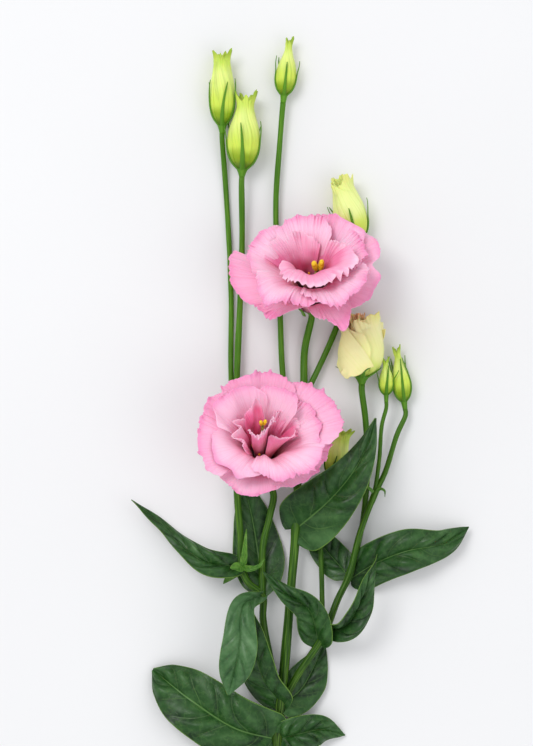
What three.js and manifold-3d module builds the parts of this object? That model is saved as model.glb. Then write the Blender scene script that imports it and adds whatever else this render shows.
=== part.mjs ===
// One cut stem of double lisianthus, lying on a flat surface: two open flowers, eight buds,
// twelve leaves and the stalks that carry them. Millimetres, +Z up, +Y from the cut end towards
// the flowers, +X to the right as seen from above. The origin is under the middle of the stem's box.
import * as THREE from "three";
import Module from "manifold-3d";
import { mergeVertices } from "three/addons/utils/BufferGeometryUtils.js";

const wasm = await Module();
wasm.setup();

// Driving dimensions
const GAP = 0.3; // left between pieces that grow from one another
const PETAL_THICKNESS = 0.45;
const LEAF_THICKNESS = 0.6;
const SEPAL_WIDTH = 1.6;
const SEPAL_THICKNESS = 0.8;
const PETAL_BASE_RADIUS = { outer: 5.3, middle: 4.3, inner: 3.3 };
const FLOWER_CUP = { radius: 5.8, depth: 6.5 }; // the cup ends just under the petals
const BUD_CUP = { radiusShare: 0.42, depth: 3.6 }; // its radius as a share of the bud's widest
const STAMEN_CIRCLE = 2.35; // radius of the circle that the stamens stand on
const STAMEN_LEAN = 2.6; // how far a stamen's tip spreads outwards
const PISTIL = [[0, 1.9], [3, 2.2], [9, 2], [12, 1], [20, 0.8], [24, 1.4], [27, 2.1], [30, 1]];
const STAMEN = [[0, 0.35], [15, 0.35], [17.5, 0.9], [20, 1], [22, 0.6]];
const CENTRE_DISC_THICKNESS = 0.6; // joins pistil and stamens at their foot

// How finely things are divided
const STALK_STEP = 9; // longest stretch of stalk between two of its rings
const STALK_SIDES = 8;
const CUP = { sections: 4, sides: 12 };
const SEPAL = { sections: 6, sides: 4 };
const BUD = { sections: 9, sides: 10 };
const LEAF = { sections: 9, across: 6 };
const PETAL = { sections: 7, across: 6 };
const LEAN_STEPS = 24; // steps in which the curved line of a petal is followed
const MERGE_DISTANCE = 1e-4;

const GREEN = { leaf: 0x2f5a33, stalk: 0x4c7a22, bud: 0xbfd45a, openBud: 0xe3e3a4 };
const PINK = { outer: 0xf0a0c4, middle: 0xec8fb8, inner: 0xe27fa8 };
const YELLOW = 0xd8b428;

const degrees = THREE.MathUtils.degToRad;
const mix = THREE.MathUtils.lerp;
const smooth = (x, low, high) => THREE.MathUtils.smoothstep(x, low, high);
const vector = (p) => new THREE.Vector3(...p);

// A quantity that changes round a flower: [mean, swing, direction in degrees of its highest value].
const around = ([mean, swing, direction], angle) => mean + swing * Math.cos(degrees(angle - direction));

/** A smooth curve y(x) through points [x, y] in order of x. */
function through(points) {
  const slope = points.map((p, i) => {
    const before = points[Math.max(i - 1, 0)];
    const after = points[Math.min(i + 1, points.length - 1)];
    return (after[1] - before[1]) / (after[0] - before[0]);
  });
  return (x) => {
    const last = points.length - 2;
    const i = Math.min(Math.max(points.findLastIndex((p) => p[0] <= x), 0), last);
    const [x0, y0] = points[i];
    const [x1, y1] = points[i + 1];
    const h = x1 - x0;
    const t = (x - x0) / h;
    const a = y0 * (1 + 2 * t) * (1 - t) ** 2 + y1 * t * t * (3 - 2 * t);
    return a + h * (slope[i] * t * (1 - t) ** 2 + slope[i + 1] * t * t * (t - 1));
  };
}

// ---------------------------------------------------------------- closed meshes and solids

/**
 * A closed mesh through rings of points, each ring with the same even count, closed at both ends.
 * The second half of each ring is divided along mirrored diagonals, so that the two faces of a thin
 * sheet stay parallel.
 */
function loft(rings) {
  const count = rings[0].length;
  const positions = rings.flat().flatMap((p) => p.toArray());
  const index = [];
  for (let i = 0; i + 1 < rings.length; i++) {
    for (let k = 0; k < count; k++) {
      const next = (k + 1) % count;
      const [a, b] = [i * count + k, i * count + next];
      const [c, d] = [b + count, a + count];
      if (k < count / 2) index.push(a, b, c, a, c, d);
      else index.push(b, c, d, b, d, a);
    }
  }
  const last = (rings.length - 1) * count;
  for (let k = 0; k < count / 2; k++) {
    const far = (count - k) % count;
    const farther = count - k - 1;
    const ends = [k, far, farther, k + 1];
    capStrip(index, ends, 0);
    capStrip(index, [...ends].reverse(), last);
  }
  const mesh = new THREE.BufferGeometry();
  mesh.setAttribute("position", new THREE.Float32BufferAttribute(positions, 3));
  mesh.setIndex(index);
  return facingOut(mesh);
}

/** Adds one strip of an end cap, which is a triangle where two of its corners are one vertex. */
function capStrip(index, corners, offset) {
  const [a, b, c, d] = corners.map((corner) => corner + offset);
  if (a !== b && b !== c) index.push(a, b, c);
  if (c !== d && a !== d) index.push(a, c, d);
}

/** The mesh with its faces turned to point outwards. */
function facingOut(mesh) {
  const p = mesh.attributes.position;
  const at = (i) => new THREE.Vector3().fromBufferAttribute(p, i);
  const index = mesh.index.array;
  let volume = 0;
  for (let i = 0; i < index.length; i += 3) {
    volume += at(index[i]).dot(at(index[i + 1]).cross(at(index[i + 2])));
  }
  if (volume < 0) {
    for (let i = 0; i < index.length; i += 3) [index[i + 1], index[i + 2]] = [index[i + 2], index[i + 1]];
  }
  return mesh;
}

function toSolid(geometry) {
  const merged = mergeVertices(geometry, MERGE_DISTANCE);
  const vertProperties = merged.attributes.position.array;
  const triVerts = new Uint32Array(merged.index.array);
  return new wasm.Manifold(new wasm.Mesh({ numProp: 3, vertProperties, triVerts }));
}

/** The largest piece of a solid as a geometry: a cut can leave a crumb beyond what it cuts with. */
function toGeometry(solid) {
  const pieces = solid.decompose();
  const largest = pieces.reduce((a, b) => (a.volume() > b.volume() ? a : b));
  const mesh = largest.getMesh();
  const geometry = new THREE.BufferGeometry();
  geometry.setAttribute("position", new THREE.BufferAttribute(mesh.vertProperties, 3));
  geometry.setIndex(new THREE.BufferAttribute(mesh.triVerts, 1));
  return geometry;
}

/** A solid less some others. */
const less = (solid, others) => others.reduce((rest, other) => rest.subtract(other), solid);

/** Several solids joined into one. */
const joined = (solids) => solids.reduce((whole, one) => whole.add(one));

/** The unit vector across the axis at an angle round it. */
const radialAt = (angle) => new THREE.Vector3(Math.cos(degrees(angle)), Math.sin(degrees(angle)), 0);

/** The direction that faces outwards and, by its lean, downwards from a surface round the axis. */
const outwardAt = (radial, lean) => radial.clone().multiplyScalar(Math.cos(lean)).setZ(-Math.sin(lean));

/** An ellipse of points round a centre. */
function ring(centre, across, up, width, height, sides) {
  return Array.from({ length: sides }, (_, k) => {
    const angle = (2 * Math.PI * k) / sides;
    const point = centre.clone().addScaledVector(across, width * Math.cos(angle));
    return point.addScaledVector(up, height * Math.sin(angle));
  });
}

/** A circle of points round the Z axis, or round an axis parallel to it. */
function level(height, radius, sides, offset = new THREE.Vector3()) {
  const centre = offset.clone().setZ(height);
  return ring(centre, new THREE.Vector3(1, 0, 0), new THREE.Vector3(0, 1, 0), radius, radius, sides);
}

/** The rim of a thin sheet's cross-section: across its front, then back across its rear. */
function sheetRing(across, point, normal, thickness) {
  const side = (a, sign) => {
    const half = (thickness / 2) * (1 - a ** 4);
    return point(a).addScaledVector(normal(a), sign * half);
  };
  const places = Array.from({ length: across + 1 }, (_, i) => -1 + (2 * i) / across);
  const inner = places.slice(1, -1);
  return [
    point(-1),
    ...inner.map((a) => side(a, 1)),
    point(1),
    ...inner.reverse().map((a) => side(a, -1)),
  ];
}

// ---------------------------------------------------------------- stalks

/** A stalk along hand-placed points, tapering from one radius to another. grow widens it as a cutter. */
function stalk(route, radiusFrom, radiusTo, grow = 0) {
  const curve = new THREE.CatmullRomCurve3(route.map(vector), false, "centripetal");
  const steps = Math.ceil(curve.getLength() / STALK_STEP);
  const frames = curve.computeFrenetFrames(steps);
  const rings = Array.from({ length: steps + 1 }, (_, i) => {
    const centre = curve.getPointAt(i / steps);
    const radius = mix(radiusFrom, radiusTo, i / steps) + grow;
    return ring(centre, frames.normals[i], frames.binormals[i], radius, radius, STALK_SIDES);
  });
  return loft(rings);
}

// ---------------------------------------------------------------- leaves

const LEAF_OUTLINE = through([[0, 0.3], [0.12, 0.72], [0.32, 1], [0.6, 0.8], [0.85, 0.33], [1, 0.02]]);
const LEAF_TIP_THINNING = 0.5;

/**
 * A leaf blade along its midrib. roll turns the blade about the midrib, in degrees, from its base
 * to its tip, fold lifts its two halves towards each other and arch bends each half down again.
 */
function leaf({ midrib, halfWidth, roll = [0, 0], fold = 12, arch = 0.15 }) {
  const curve = new THREE.CatmullRomCurve3(midrib.map(vector), false, "centripetal");
  const rings = Array.from({ length: LEAF.sections + 1 }, (_, i) => {
    const s = i / LEAF.sections;
    const tangent = curve.getTangentAt(s);
    const side = tangent.clone().cross(new THREE.Vector3(0, 0, 1)).normalize();
    side.applyAxisAngle(tangent, degrees(mix(roll[0], roll[1], s)));
    const up = side.clone().cross(tangent);
    const width = halfWidth * LEAF_OUTLINE(s);
    const lift = (a) => width * (Math.abs(a) * Math.sin(degrees(fold)) - arch * a * a);
    const point = (a) => {
      const beside = curve.getPointAt(s).addScaledVector(side, a * width * Math.cos(degrees(fold)));
      return beside.addScaledVector(up, lift(a));
    };
    return sheetRing(LEAF.across, point, () => up, LEAF_THICKNESS * mix(1, LEAF_TIP_THINNING, s));
  });
  return loft(rings);
}

// ---------------------------------------------------------------- petals

const BASE_HALF_ANGLE = 32; // where five petals stand side by side without overlapping
const WIDENING = [0.25, 0.6]; // shares of the length between which a petal reaches its full angle

/** The line of a petal of a whorl at an angle round the flower, followed for a share of its length. */
function petalLine(whorl, angle, share) {
  const length = around(whorl.length, angle);
  const leanEnd = around(whorl.leanEnd, angle);
  const step = (length * share) / LEAN_STEPS;
  let radius = whorl.baseRadius;
  let height = 0;
  let lean = degrees(whorl.leanStart);
  for (let i = 0; i < LEAN_STEPS; i++) {
    const middle = ((i + 0.5) / LEAN_STEPS) * share;
    lean = degrees(mix(whorl.leanStart, leanEnd, middle ** whorl.bend));
    radius += step * Math.sin(lean);
    height += step * Math.cos(lean);
  }
  return { radius, height, lean };
}

/** How far an edge of a petal stands off its whorl's surface, so that petals overlap like tiles. */
const tileOffset = (share) => 0.25 + 1.65 * share ** 2;

/** One petal in its flower's own frame, with Z along the flower's axis. */
function petal(whorl, centreAngle) {
  const edge = (a) => 1 - whorl.rounding * Math.abs(a) ** 2.5;
  const rings = Array.from({ length: PETAL.sections + 1 }, (_, i) => {
    const place = (a) => {
      const share = (i / PETAL.sections) * edge(a);
      const half = mix(BASE_HALF_ANGLE, whorl.halfAngle, smooth(share, ...WIDENING));
      const angle = centreAngle + half * a;
      const line = petalLine(whorl, angle, share);
      const radial = radialAt(angle);
      const outward = outwardAt(radial, line.lean);
      const point = radial.multiplyScalar(line.radius).setZ(line.height);
      return { point: point.addScaledVector(outward, a * tileOffset(share)), outward };
    };
    return sheetRing(PETAL.across, (a) => place(a).point, (a) => place(a).outward, PETAL_THICKNESS);
  });
  return loft(rings);
}

// ---------------------------------------------------------------- calyx, flower centre and buds

const SEPAL_ANGLES = [90, 162, 234, 306, 18]; // round the axis, none of them straight down
const SEPAL_TIP_SHARE = 0.25; // width at the tip as a share of the width at the foot

/** A sepal whose middle line, in a frame with Z along the axis, is given by line(share). */
function sepal(line, angle) {
  const radial = radialAt(angle);
  const sideways = new THREE.Vector3(-radial.y, radial.x, 0);
  const rings = Array.from({ length: SEPAL.sections + 1 }, (_, i) => {
    const share = i / SEPAL.sections;
    const { radius, height, lean } = line(share);
    const centre = radial.clone().multiplyScalar(radius).setZ(height);
    const width = (SEPAL_WIDTH / 2) * mix(1, SEPAL_TIP_SHARE, share);
    const thickness = (SEPAL_THICKNESS / 2) * mix(1, SEPAL_TIP_SHARE, share);
    return ring(centre, sideways, outwardAt(radial, lean), width, thickness, SEPAL.sides);
  });
  return loft(rings);
}

/** The cup that a flower or bud sits on, from its stalk's radius up to a flat top just under it. */
function cup(stalkRadius, topRadius, depth) {
  const profile = through([[0, stalkRadius], [0.45, mix(stalkRadius, topRadius, 0.75)], [1, topRadius]]);
  const rings = Array.from({ length: CUP.sections + 1 }, (_, i) => {
    const share = i / CUP.sections;
    return level(-GAP - depth * (1 - share), profile(share), CUP.sides);
  });
  return loft(rings);
}

/** Cup and sepals as one solid in the flower's or bud's own frame. */
function calyx(stalkRadius, topRadius, depth, line) {
  const sepals = SEPAL_ANGLES.map((angle) => toSolid(sepal(line, angle)));
  return joined([toSolid(cup(stalkRadius, topRadius, depth)), ...sepals]);
}

// A flower's sepals follow the underside of its outer petals over this stretch of their length,
// and stand off them by this much at their foot and at their tip.
const FLOWER_SEPALS = { from: 0.04, to: 0.54, petalLength: 50, away: [1.35, 5] };
const FOOT_INSET = 1; // the foot of a sepal is sunk into its cup by this much
const FOOT_DROP = 2.5; // and starts this far below the petals

/** The middle line of the sepals of an open flower. */
function flowerSepalLine(flower) {
  const { from, to, petalLength, away } = FLOWER_SEPALS;
  const spread = {
    ...flower.outer,
    baseRadius: PETAL_BASE_RADIUS.outer,
    leanEnd: [flower.sepalLean, 0, 0],
    length: [petalLength, 0, 0],
  };
  return (share) => {
    const { radius, height, lean } = petalLine(spread, 0, mix(from, to, share));
    const standOff = mix(...away, smooth(share, 0, 1)) - (share === 0 ? FOOT_INSET : 0);
    return {
      radius: radius + standOff * Math.cos(lean),
      height: height - standOff * Math.sin(lean) - FOOT_DROP * Math.max(1 - share * 3, 0),
      lean,
    };
  };
}

/** A round part whose radius follows points [height, radius] and whose top end bends aside. */
function turned(points, sections, sides, bendTo = new THREE.Vector3()) {
  const radius = through(points);
  const top = points.at(-1)[0];
  const rings = Array.from({ length: sections + 1 }, (_, i) => {
    const height = (top * i) / sections;
    const offset = bendTo.clone().multiplyScalar((i / sections) ** 2);
    return level(height, radius(height), sides, offset);
  });
  return loft(rings);
}

const STAMEN_ANGLES = [30, 102, 174, 246, 318];

/** Ovary, style and stigma with the five stamens round them, joined by a thin disc at their foot. */
function flowerCentre() {
  const discRadius = STAMEN_CIRCLE + STAMEN[0][1];
  const disc = turned([[0, discRadius], [CENTRE_DISC_THICKNESS, discRadius]], 1, 12);
  const stamens = STAMEN_ANGLES.map((angle) => {
    const direction = radialAt(angle);
    const stamen = turned(STAMEN, 8, 6, direction.clone().multiplyScalar(STAMEN_LEAN));
    const foot = direction.multiplyScalar(STAMEN_CIRCLE);
    return toSolid(stamen.translate(foot.x, foot.y, 0));
  });
  return toGeometry(joined([toSolid(turned(PISTIL, 10, 8)), toSolid(disc), ...stamens]));
}

// Outlines of buds: [share of the length, share of the widest radius]
const BUD_OUTLINES = {
  closed: through([[0, 0.3], [0.1, 0.72], [0.3, 1], [0.5, 0.9], [0.7, 0.52], [0.85, 0.33], [1, 0.22]]),
  opening: through([[0, 0.3], [0.1, 0.74], [0.3, 1], [0.55, 0.94], [0.75, 0.76], [0.9, 0.72], [1, 0.55]]),
};
const BUD_SEPALS = { clearance: 0.25, tipSpread: 2.2, footInset: 1.4, footDrop: 1.2 };

/** The rolled petals of a bud. */
function budBody({ length, radius, outline }) {
  const rings = Array.from({ length: BUD.sections + 1 }, (_, i) => {
    const share = i / BUD.sections;
    return level(length * share, radius * BUD_OUTLINES[outline](share), BUD.sides);
  });
  return loft(rings);
}

/** The middle line of a bud's sepals, which hug it and have free tips. */
function budSepalLine({ length, radius, outline, sepalReach }) {
  const { clearance, tipSpread, footInset, footDrop } = BUD_SEPALS;
  return (share) => {
    const along = share * sepalReach;
    const isFoot = share === 0;
    const standOff = GAP + SEPAL_THICKNESS / 2 + clearance + tipSpread * share ** 3;
    return {
      radius: radius * BUD_OUTLINES[outline](along) + standOff - (isFoot ? footInset : 0),
      height: length * along - (isFoot ? footDrop : 0),
      lean: 0,
    };
  };
}

// ---------------------------------------------------------------- where everything is

// Places on the stem and its branches where leaves and stalks grow out
const JOINT = {
  low: [5.4, -191, 5],
  first: [7.5, -172, 8],
  middle: [15.3, -81.3, 9],
  behind: [16.8, -42.5, 7],
  top: [19.4, -13, 6],
  right: [29.3, -136.8, 12],
  rightUpper: [42.7, -105.7, 10],
  rightFork: [56.2, -63.2, 8],
  left: [-2.3, -115.5, 10],
  bract: [-13.2, -100.5, 9],
  leftUpper: [-15.8, -34.7, 7],
};

// A flower is tilted from upright towards the stem's top end, and swayed to the right, in degrees.
// Round the flower, 0 degrees is to the right and 90 towards the stem's top end.
const FRONT_FLOWER = {
  base: [-3.9, -48.2, 16],
  tilt: 32,
  sway: 7,
  sepalLean: 70,
  outer: {
    angles: [97, 27, -45, -112, 172],
    halfAngle: 45,
    length: [48, 4.5, 35],
    leanStart: 16,
    leanEnd: [82, 18, -90],
    bend: 1.5,
    rounding: 0.2,
  },
  middle: {
    angles: [130, 62, -8, -72, -140],
    halfAngle: 42,
    length: [43, 4, 10],
    leanStart: 12,
    leanEnd: [62, 18, -90],
    bend: 1.6,
    rounding: 0.24,
  },
  inner: {
    angles: [105, 35, -22, -80, -155],
    halfAngle: 36,
    length: [36, 2, 90],
    leanStart: 8,
    leanEnd: [34, 8, -90],
    bend: 1.6,
    rounding: 0.3,
  },
};

const TOP_FLOWER = {
  base: [23.1, 35.2, 13],
  tilt: 41,
  sway: -4,
  sepalLean: 78,
  outer: {
    angles: [60, -10, -80, -150, 132],
    halfAngle: 45,
    length: [51, 2, 180],
    leanStart: 16,
    leanEnd: [84, 20, -90],
    bend: 1.4,
    rounding: 0.2,
  },
  middle: {
    angles: [95, 25, -45, -118, 168],
    halfAngle: 43,
    length: [45, 2, 0],
    leanStart: 12,
    leanEnd: [64, 16, -90],
    bend: 1.5,
    rounding: 0.2,
  },
  inner: {
    angles: [115, -5, -125],
    halfAngle: 44,
    length: [38, 2, 90],
    leanStart: 8,
    leanEnd: [46, 12, -90],
    bend: 1.6,
    rounding: 0.26,
  },
};

const FLOWERS = { front: FRONT_FLOWER, top: TOP_FLOWER };

// Ends of each bud's petals, its widest radius and how far its sepals reach along it
const BUDS = {
  left_tall: bud([-12.6, 106.2, 9.6], [-10.6, 146.6, 11.2], 8.4, "closed", 0.55),
  left_far: bud([-23.1, 129, 8], [-23.1, 168.3, 8.6], 6.6, "closed", 0.62),
  top: bud([9.1, 145, 6.6], [12.2, 174.6, 7.6], 5.4, "closed", 0.68),
  right_tall: bud([46.9, 68.9, 6.6], [38.1, 103.1, 12.6], 8, "opening", 0.55),
  cream: bud([49.5, -1.6, 11.6], [49.9, 32.6, 12.6], 10, "opening", 0.42),
  right_small: bud([62.2, -10.9, 10], [62, 8, 10.4], 3.7, "closed", 0.66),
  right_low: bud([71.6, -14.5, 5.8], [71.4, 14, 6.4], 4.7, "closed", 0.66),
  twisted: bud([33.4, -52.8, 10], [41, -28.5, 14.5], 5, "closed", 0.6),
};

function bud(base, tip, radius, outline, sepalReach) {
  const length = vector(tip).distanceTo(vector(base));
  return { base, tip, length, radius, outline, sepalReach };
}

/** The frame of a flower: its base point, and Z along its axis. */
function flowerMatrix({ base, tilt, sway }) {
  const turn = new THREE.Quaternion();
  turn.setFromEuler(new THREE.Euler(degrees(-tilt), degrees(sway), 0, "YXZ"));
  return new THREE.Matrix4().compose(vector(base), turn, new THREE.Vector3(1, 1, 1));
}

/** The frame of a bud: its base point, Z towards its tip, and Y as near to straight up as it can be. */
function budMatrix({ base, tip }) {
  const z = vector(tip).sub(vector(base)).normalize();
  const x = new THREE.Vector3(0, 0, 1).cross(z).normalize();
  const y = z.clone().cross(x);
  return new THREE.Matrix4().makeBasis(x, y, z).setPosition(vector(base));
}

/** The last two points of a stalk, which meets a cup of the given depth along the cup's axis. */
function approach(matrix, depth) {
  const point = (height) => new THREE.Vector3(0, 0, height).applyMatrix4(matrix).toArray();
  const foot = -GAP - depth;
  return [point(foot - 2.5), point(foot + 0.4)];
}

const toFlower = (name) => approach(flowerMatrix(FLOWERS[name]), FLOWER_CUP.depth);
const toBud = (name) => approach(budMatrix(BUDS[name]), BUD_CUP.depth);

// Each stalk: its route, its radius at both ends, the stalk it grows out of, and what it carries
const STALKS = {
  stem: {
    route: [
      [4.9, -208.8, 3.2],
      JOINT.low,
      JOINT.first,
      [10.1, -143.5, 10],
      [12.7, -112.4, 10],
      JOINT.middle,
      JOINT.behind,
      JOINT.top,
      [19.9, 11.9, 4],
      ...toFlower("top"),
    ],
    radii: [2.5, 1.6],
    flower: "top",
  },
  left_branch: {
    route: [
      JOINT.first,
      [1.8, -148.7, 8],
      [-1.8, -127.9, 9],
      JOINT.left,
      [-9.6, -108.8, 10],
      JOINT.bract,
      [-13.7, -85, 8],
      [-15.3, -62.7, 7.5],
      JOINT.leftUpper,
      [-15.3, 0.5, 6.5],
      [-13.7, 37.8, 6],
      [-12.7, 68.9, 6],
      ...toBud("left_tall"),
    ],
    radii: [1.8, 1.35],
    from: "stem",
    bud: "left_tall",
  },
  right_branch: {
    route: [
      JOINT.first,
      [17.4, -154.9, 11],
      JOINT.right,
      [37, -117.6, 11],
      JOINT.rightUpper,
      [48.4, -83.9, 9],
      JOINT.rightFork,
      [64, -39.9, 7],
      ...toBud("right_low"),
    ],
    radii: [1.95, 1.15],
    from: "stem",
    bud: "right_low",
  },
  front_flower_stalk: {
    route: [JOINT.left, [-1.8, -89.6, 8], [1.8, -74.1, 7], [3.4, -62, 6], ...toFlower("front")],
    radii: [1.6, 1.65],
    from: "left_branch",
    flower: "front",
  },
  left_far_stalk: {
    route: [
      JOINT.leftUpper,
      [-18.4, -3.6, 4.5],
      [-18.4, 37.8, 3.5],
      [-19.4, 65.3, 3],
      [-21.5, 100, 3],
      ...toBud("left_far"),
    ],
    radii: [1.3, 1.25],
    from: "left_branch",
    bud: "left_far",
  },
  top_stalk: {
    route: [
      JOINT.behind,
      [9.1, -6.2, 5],
      [7, 32.6, 3.6],
      [5.4, 63.7, 3.6],
      [4.9, 89.6, 4.6],
      [7, 120.7, 5.6],
      ...toBud("top"),
    ],
    radii: [1.4, 1.3],
    from: "stem",
    bud: "top",
  },
  right_tall_stalk: {
    route: [JOINT.top, [26.7, 1.6, 5], [36.5, 23.8, 4], [43.3, 45.6, 4], ...toBud("right_tall")],
    radii: [1.4, 1.4],
    from: "stem",
    bud: "right_tall",
  },
  cream_stalk: {
    route: [JOINT.rightUpper, [49.5, -81.3, 5.4], [52.5, -50.2, 6], [51.5, -24.3, 8], ...toBud("cream")],
    radii: [1.3, 1.5],
    from: "right_branch",
    bud: "cream",
  },
  right_small_stalk: {
    route: [JOINT.rightFork, [58.6, -45.1, 9], [60, -26.9, 9.4], ...toBud("right_small")],
    radii: [1, 0.95],
    from: "right_branch",
    bud: "right_small",
  },
  twisted_stalk: {
    route: [JOINT.right, [28.7, -107.2, 9], [28.2, -76.1, 7], ...toBud("twisted")],
    radii: [1.2, 1.2],
    from: "right_branch",
    bud: "twisted",
  },
};

// Each leaf: its midrib from the stem outwards, and the stalks it clasps
const LEAVES = {
  leaf_low_left: {
    midrib: [JOINT.low, [-16.3, -184, 15], [-39.6, -169.4, 13], [-59.3, -154.9, 3]],
    halfWidth: 18,
    roll: [-14, 10],
    on: ["stem"],
  },
  leaf_low_right: {
    midrib: [JOINT.low, [17.4, -187.5, 9], [29, -185.5, 8], [41, -189.1, 2]],
    halfWidth: 10,
    roll: [10, 0],
    on: ["stem"],
  },
  leaf_first_left: {
    midrib: [JOINT.first, [-2, -158, 14.5], [-6.5, -138.3, 18], [-9.1, -116.5, 16.5]],
    halfWidth: 12.5,
    roll: [-38, -46],
    on: ["stem", "left_branch", "right_branch"],
  },
  leaf_first_right: {
    midrib: [JOINT.first, [17, -166, 4.5], [25, -153, 2.2], [30.5, -140, 2.2]],
    halfWidth: 11,
    fold: 5,
    arch: 0,
    on: ["stem", "right_branch"],
  },
  leaf_curled: {
    midrib: [[27.2, -139.8, 11.8], [21.6, -121.7, 24], [10.1, -113.4, 28], [-1.8, -102.6, 22]],
    halfWidth: 10.5,
    roll: [-30, 24],
    fold: 20,
    on: ["right_branch", "twisted_stalk"],
  },
  leaf_folded: {
    midrib: [[32.2, -133.4, 13], [42, -129.6, 19.5], [49.5, -112.4, 25], [56.7, -93.2, 23]],
    halfWidth: 9,
    roll: [20, 52],
    fold: 34,
    on: ["right_branch", "twisted_stalk"],
  },
  leaf_long: {
    midrib: [JOINT.rightUpper, [61.4, -97.9, 15], [84.7, -89.1, 13], [105.4, -80.3, 5]],
    halfWidth: 15.5,
    roll: [4, 14],
    fold: 14,
    on: ["right_branch", "cream_stalk"],
  },
  leaf_right_back: {
    midrib: [JOINT.rightUpper, [35.5, -97.5, 4.6], [26, -87, 2.2], [16.5, -79, 2.2]],
    halfWidth: 9,
    fold: 4,
    arch: 0,
    on: ["right_branch", "cream_stalk"],
  },
  leaf_big: {
    midrib: [JOINT.middle, [29, -63.2, 24], [44.3, -46.1, 29], [56.2, -23.3, 25]],
    halfWidth: 19.5,
    roll: [-8, -2],
    fold: 10,
    arch: 0.1,
    on: ["stem"],
  },
  leaf_hanging: {
    midrib: [JOINT.left, [-11.2, -121.7, 25.6], [-16.2, -141.4, 31.8], [-20.2, -165.6, 26.4]],
    halfWidth: 10,
    roll: [6, -4],
    on: ["left_branch", "front_flower_stalk"],
  },
  leaf_back: {
    midrib: [JOINT.left, [-4.4, -94.3, 2.6], [-8.5, -71, 1.4], [-13.7, -51.3, 1.4]],
    halfWidth: 13,
    fold: 2,
    arch: 0,
    on: ["left_branch", "front_flower_stalk"],
  },
  leaf_wavy: {
    midrib: [JOINT.bract, [-31.9, -97.9, 15], [-52.6, -81.3, 9], [-70.2, -65.8, 12]],
    halfWidth: 10.5,
    roll: [28, 58],
    fold: 16,
    on: ["left_branch"],
  },
};

// ---------------------------------------------------------------- the group

const model = new THREE.Group();

function add(parent, name, geometry, color, roughness) {
  geometry.computeVertexNormals();
  const material = new THREE.MeshStandardMaterial({ color, roughness, metalness: 0 });
  const mesh = new THREE.Mesh(geometry, material);
  mesh.name = name;
  parent.add(mesh);
}

/** A group in the frame of a flower or bud. */
function framed(matrix) {
  const group = new THREE.Group();
  group.applyMatrix4(matrix);
  model.add(group);
  return group;
}

/** The space that a stalk takes up, with the gap round it. */
function roomFor(name) {
  const { route, radii } = STALKS[name];
  return toSolid(stalk(route, ...radii, GAP));
}

/** A stalk with the cup and sepals of the flower or bud that it carries. */
function wholeStalk({ route, radii, flower, bud: budName }) {
  const tube = toSolid(stalk(route, ...radii));
  const endRadius = radii[1];
  if (flower) {
    const { radius, depth } = FLOWER_CUP;
    const head = calyx(endRadius, radius, depth, flowerSepalLine(FLOWERS[flower]));
    return tube.add(head.transform(flowerMatrix(FLOWERS[flower]).elements));
  }
  const facts = BUDS[budName];
  const matrix = budMatrix(facts).elements;
  const head = calyx(endRadius, facts.radius * BUD_CUP.radiusShare, BUD_CUP.depth, budSepalLine(facts));
  const petals = toSolid(budBody(facts)).transform(matrix);
  return tube.add(head.transform(matrix)).subtract(petals);
}

for (const [name, facts] of Object.entries(STALKS)) {
  const parents = facts.from ? [roomFor(facts.from)] : [];
  add(model, name, toGeometry(less(wholeStalk(facts), parents)), GREEN.stalk, 0.55);
}

for (const [name, facts] of Object.entries(LEAVES)) {
  const blade = toSolid(leaf(facts));
  add(model, name, toGeometry(less(blade, facts.on.map(roomFor))), GREEN.leaf, 0.5);
}

for (const [name, facts] of Object.entries(BUDS)) {
  const color = name === "cream" ? GREEN.openBud : GREEN.bud;
  add(framed(budMatrix(facts)), `bud_${name}`, budBody(facts), color, 0.5);
}

for (const [place, flower] of Object.entries(FLOWERS)) {
  const holder = framed(flowerMatrix(flower));
  for (const [whorlName, baseRadius] of Object.entries(PETAL_BASE_RADIUS)) {
    const whorl = { ...flower[whorlName], baseRadius };
    whorl.angles.forEach((angle, i) => {
      add(holder, `${place}_${whorlName}_petal_${i + 1}`, petal(whorl, angle), PINK[whorlName], 0.6);
    });
  }
  add(holder, `${place}_pistil_and_stamens`, flowerCentre(), YELLOW, 0.6);
}

// The origin goes under the middle of the whole, level with its lowest point.
model.updateMatrixWorld(true);
const box = new THREE.Box3().setFromObject(model, true);
const middle = box.getCenter(new THREE.Vector3());
for (const child of model.children) {
  child.position.sub(new THREE.Vector3(middle.x, middle.y, box.min.z));
}

export default model;
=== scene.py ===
"""The looks of one cut stem of double lisianthus that lies on a pale surface, seen from straight above.

Places and sizes are millimetres in the drawing that the part was worked out in: its origin is the middle
of the picture, +X is to the right, +Y towards the stem's top end and +Z up. in_frame() brings them to the
frame. a runs from -1 to 1 across a petal or leaf. t runs from 0 to 1 along a petal, from its foot to its
rim, and s along a leaf, from its foot to its tip. Angles are degrees, and a material's colours are red,
green and blue from 0 to 255 as shown on a screen.
"""

import bpy
import numpy as np

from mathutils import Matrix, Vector


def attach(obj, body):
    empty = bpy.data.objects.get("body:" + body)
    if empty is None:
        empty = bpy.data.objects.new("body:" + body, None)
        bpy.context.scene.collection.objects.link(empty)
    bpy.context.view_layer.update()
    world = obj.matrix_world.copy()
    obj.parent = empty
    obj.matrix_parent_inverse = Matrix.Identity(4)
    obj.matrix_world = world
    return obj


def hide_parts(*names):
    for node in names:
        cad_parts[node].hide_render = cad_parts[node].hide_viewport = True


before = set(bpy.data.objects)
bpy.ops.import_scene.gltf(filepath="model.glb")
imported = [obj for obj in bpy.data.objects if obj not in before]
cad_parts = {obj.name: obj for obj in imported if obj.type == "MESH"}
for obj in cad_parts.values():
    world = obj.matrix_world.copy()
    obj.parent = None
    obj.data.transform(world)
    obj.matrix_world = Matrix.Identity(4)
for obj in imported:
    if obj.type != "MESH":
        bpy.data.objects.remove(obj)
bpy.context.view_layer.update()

MM = 0.001
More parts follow.
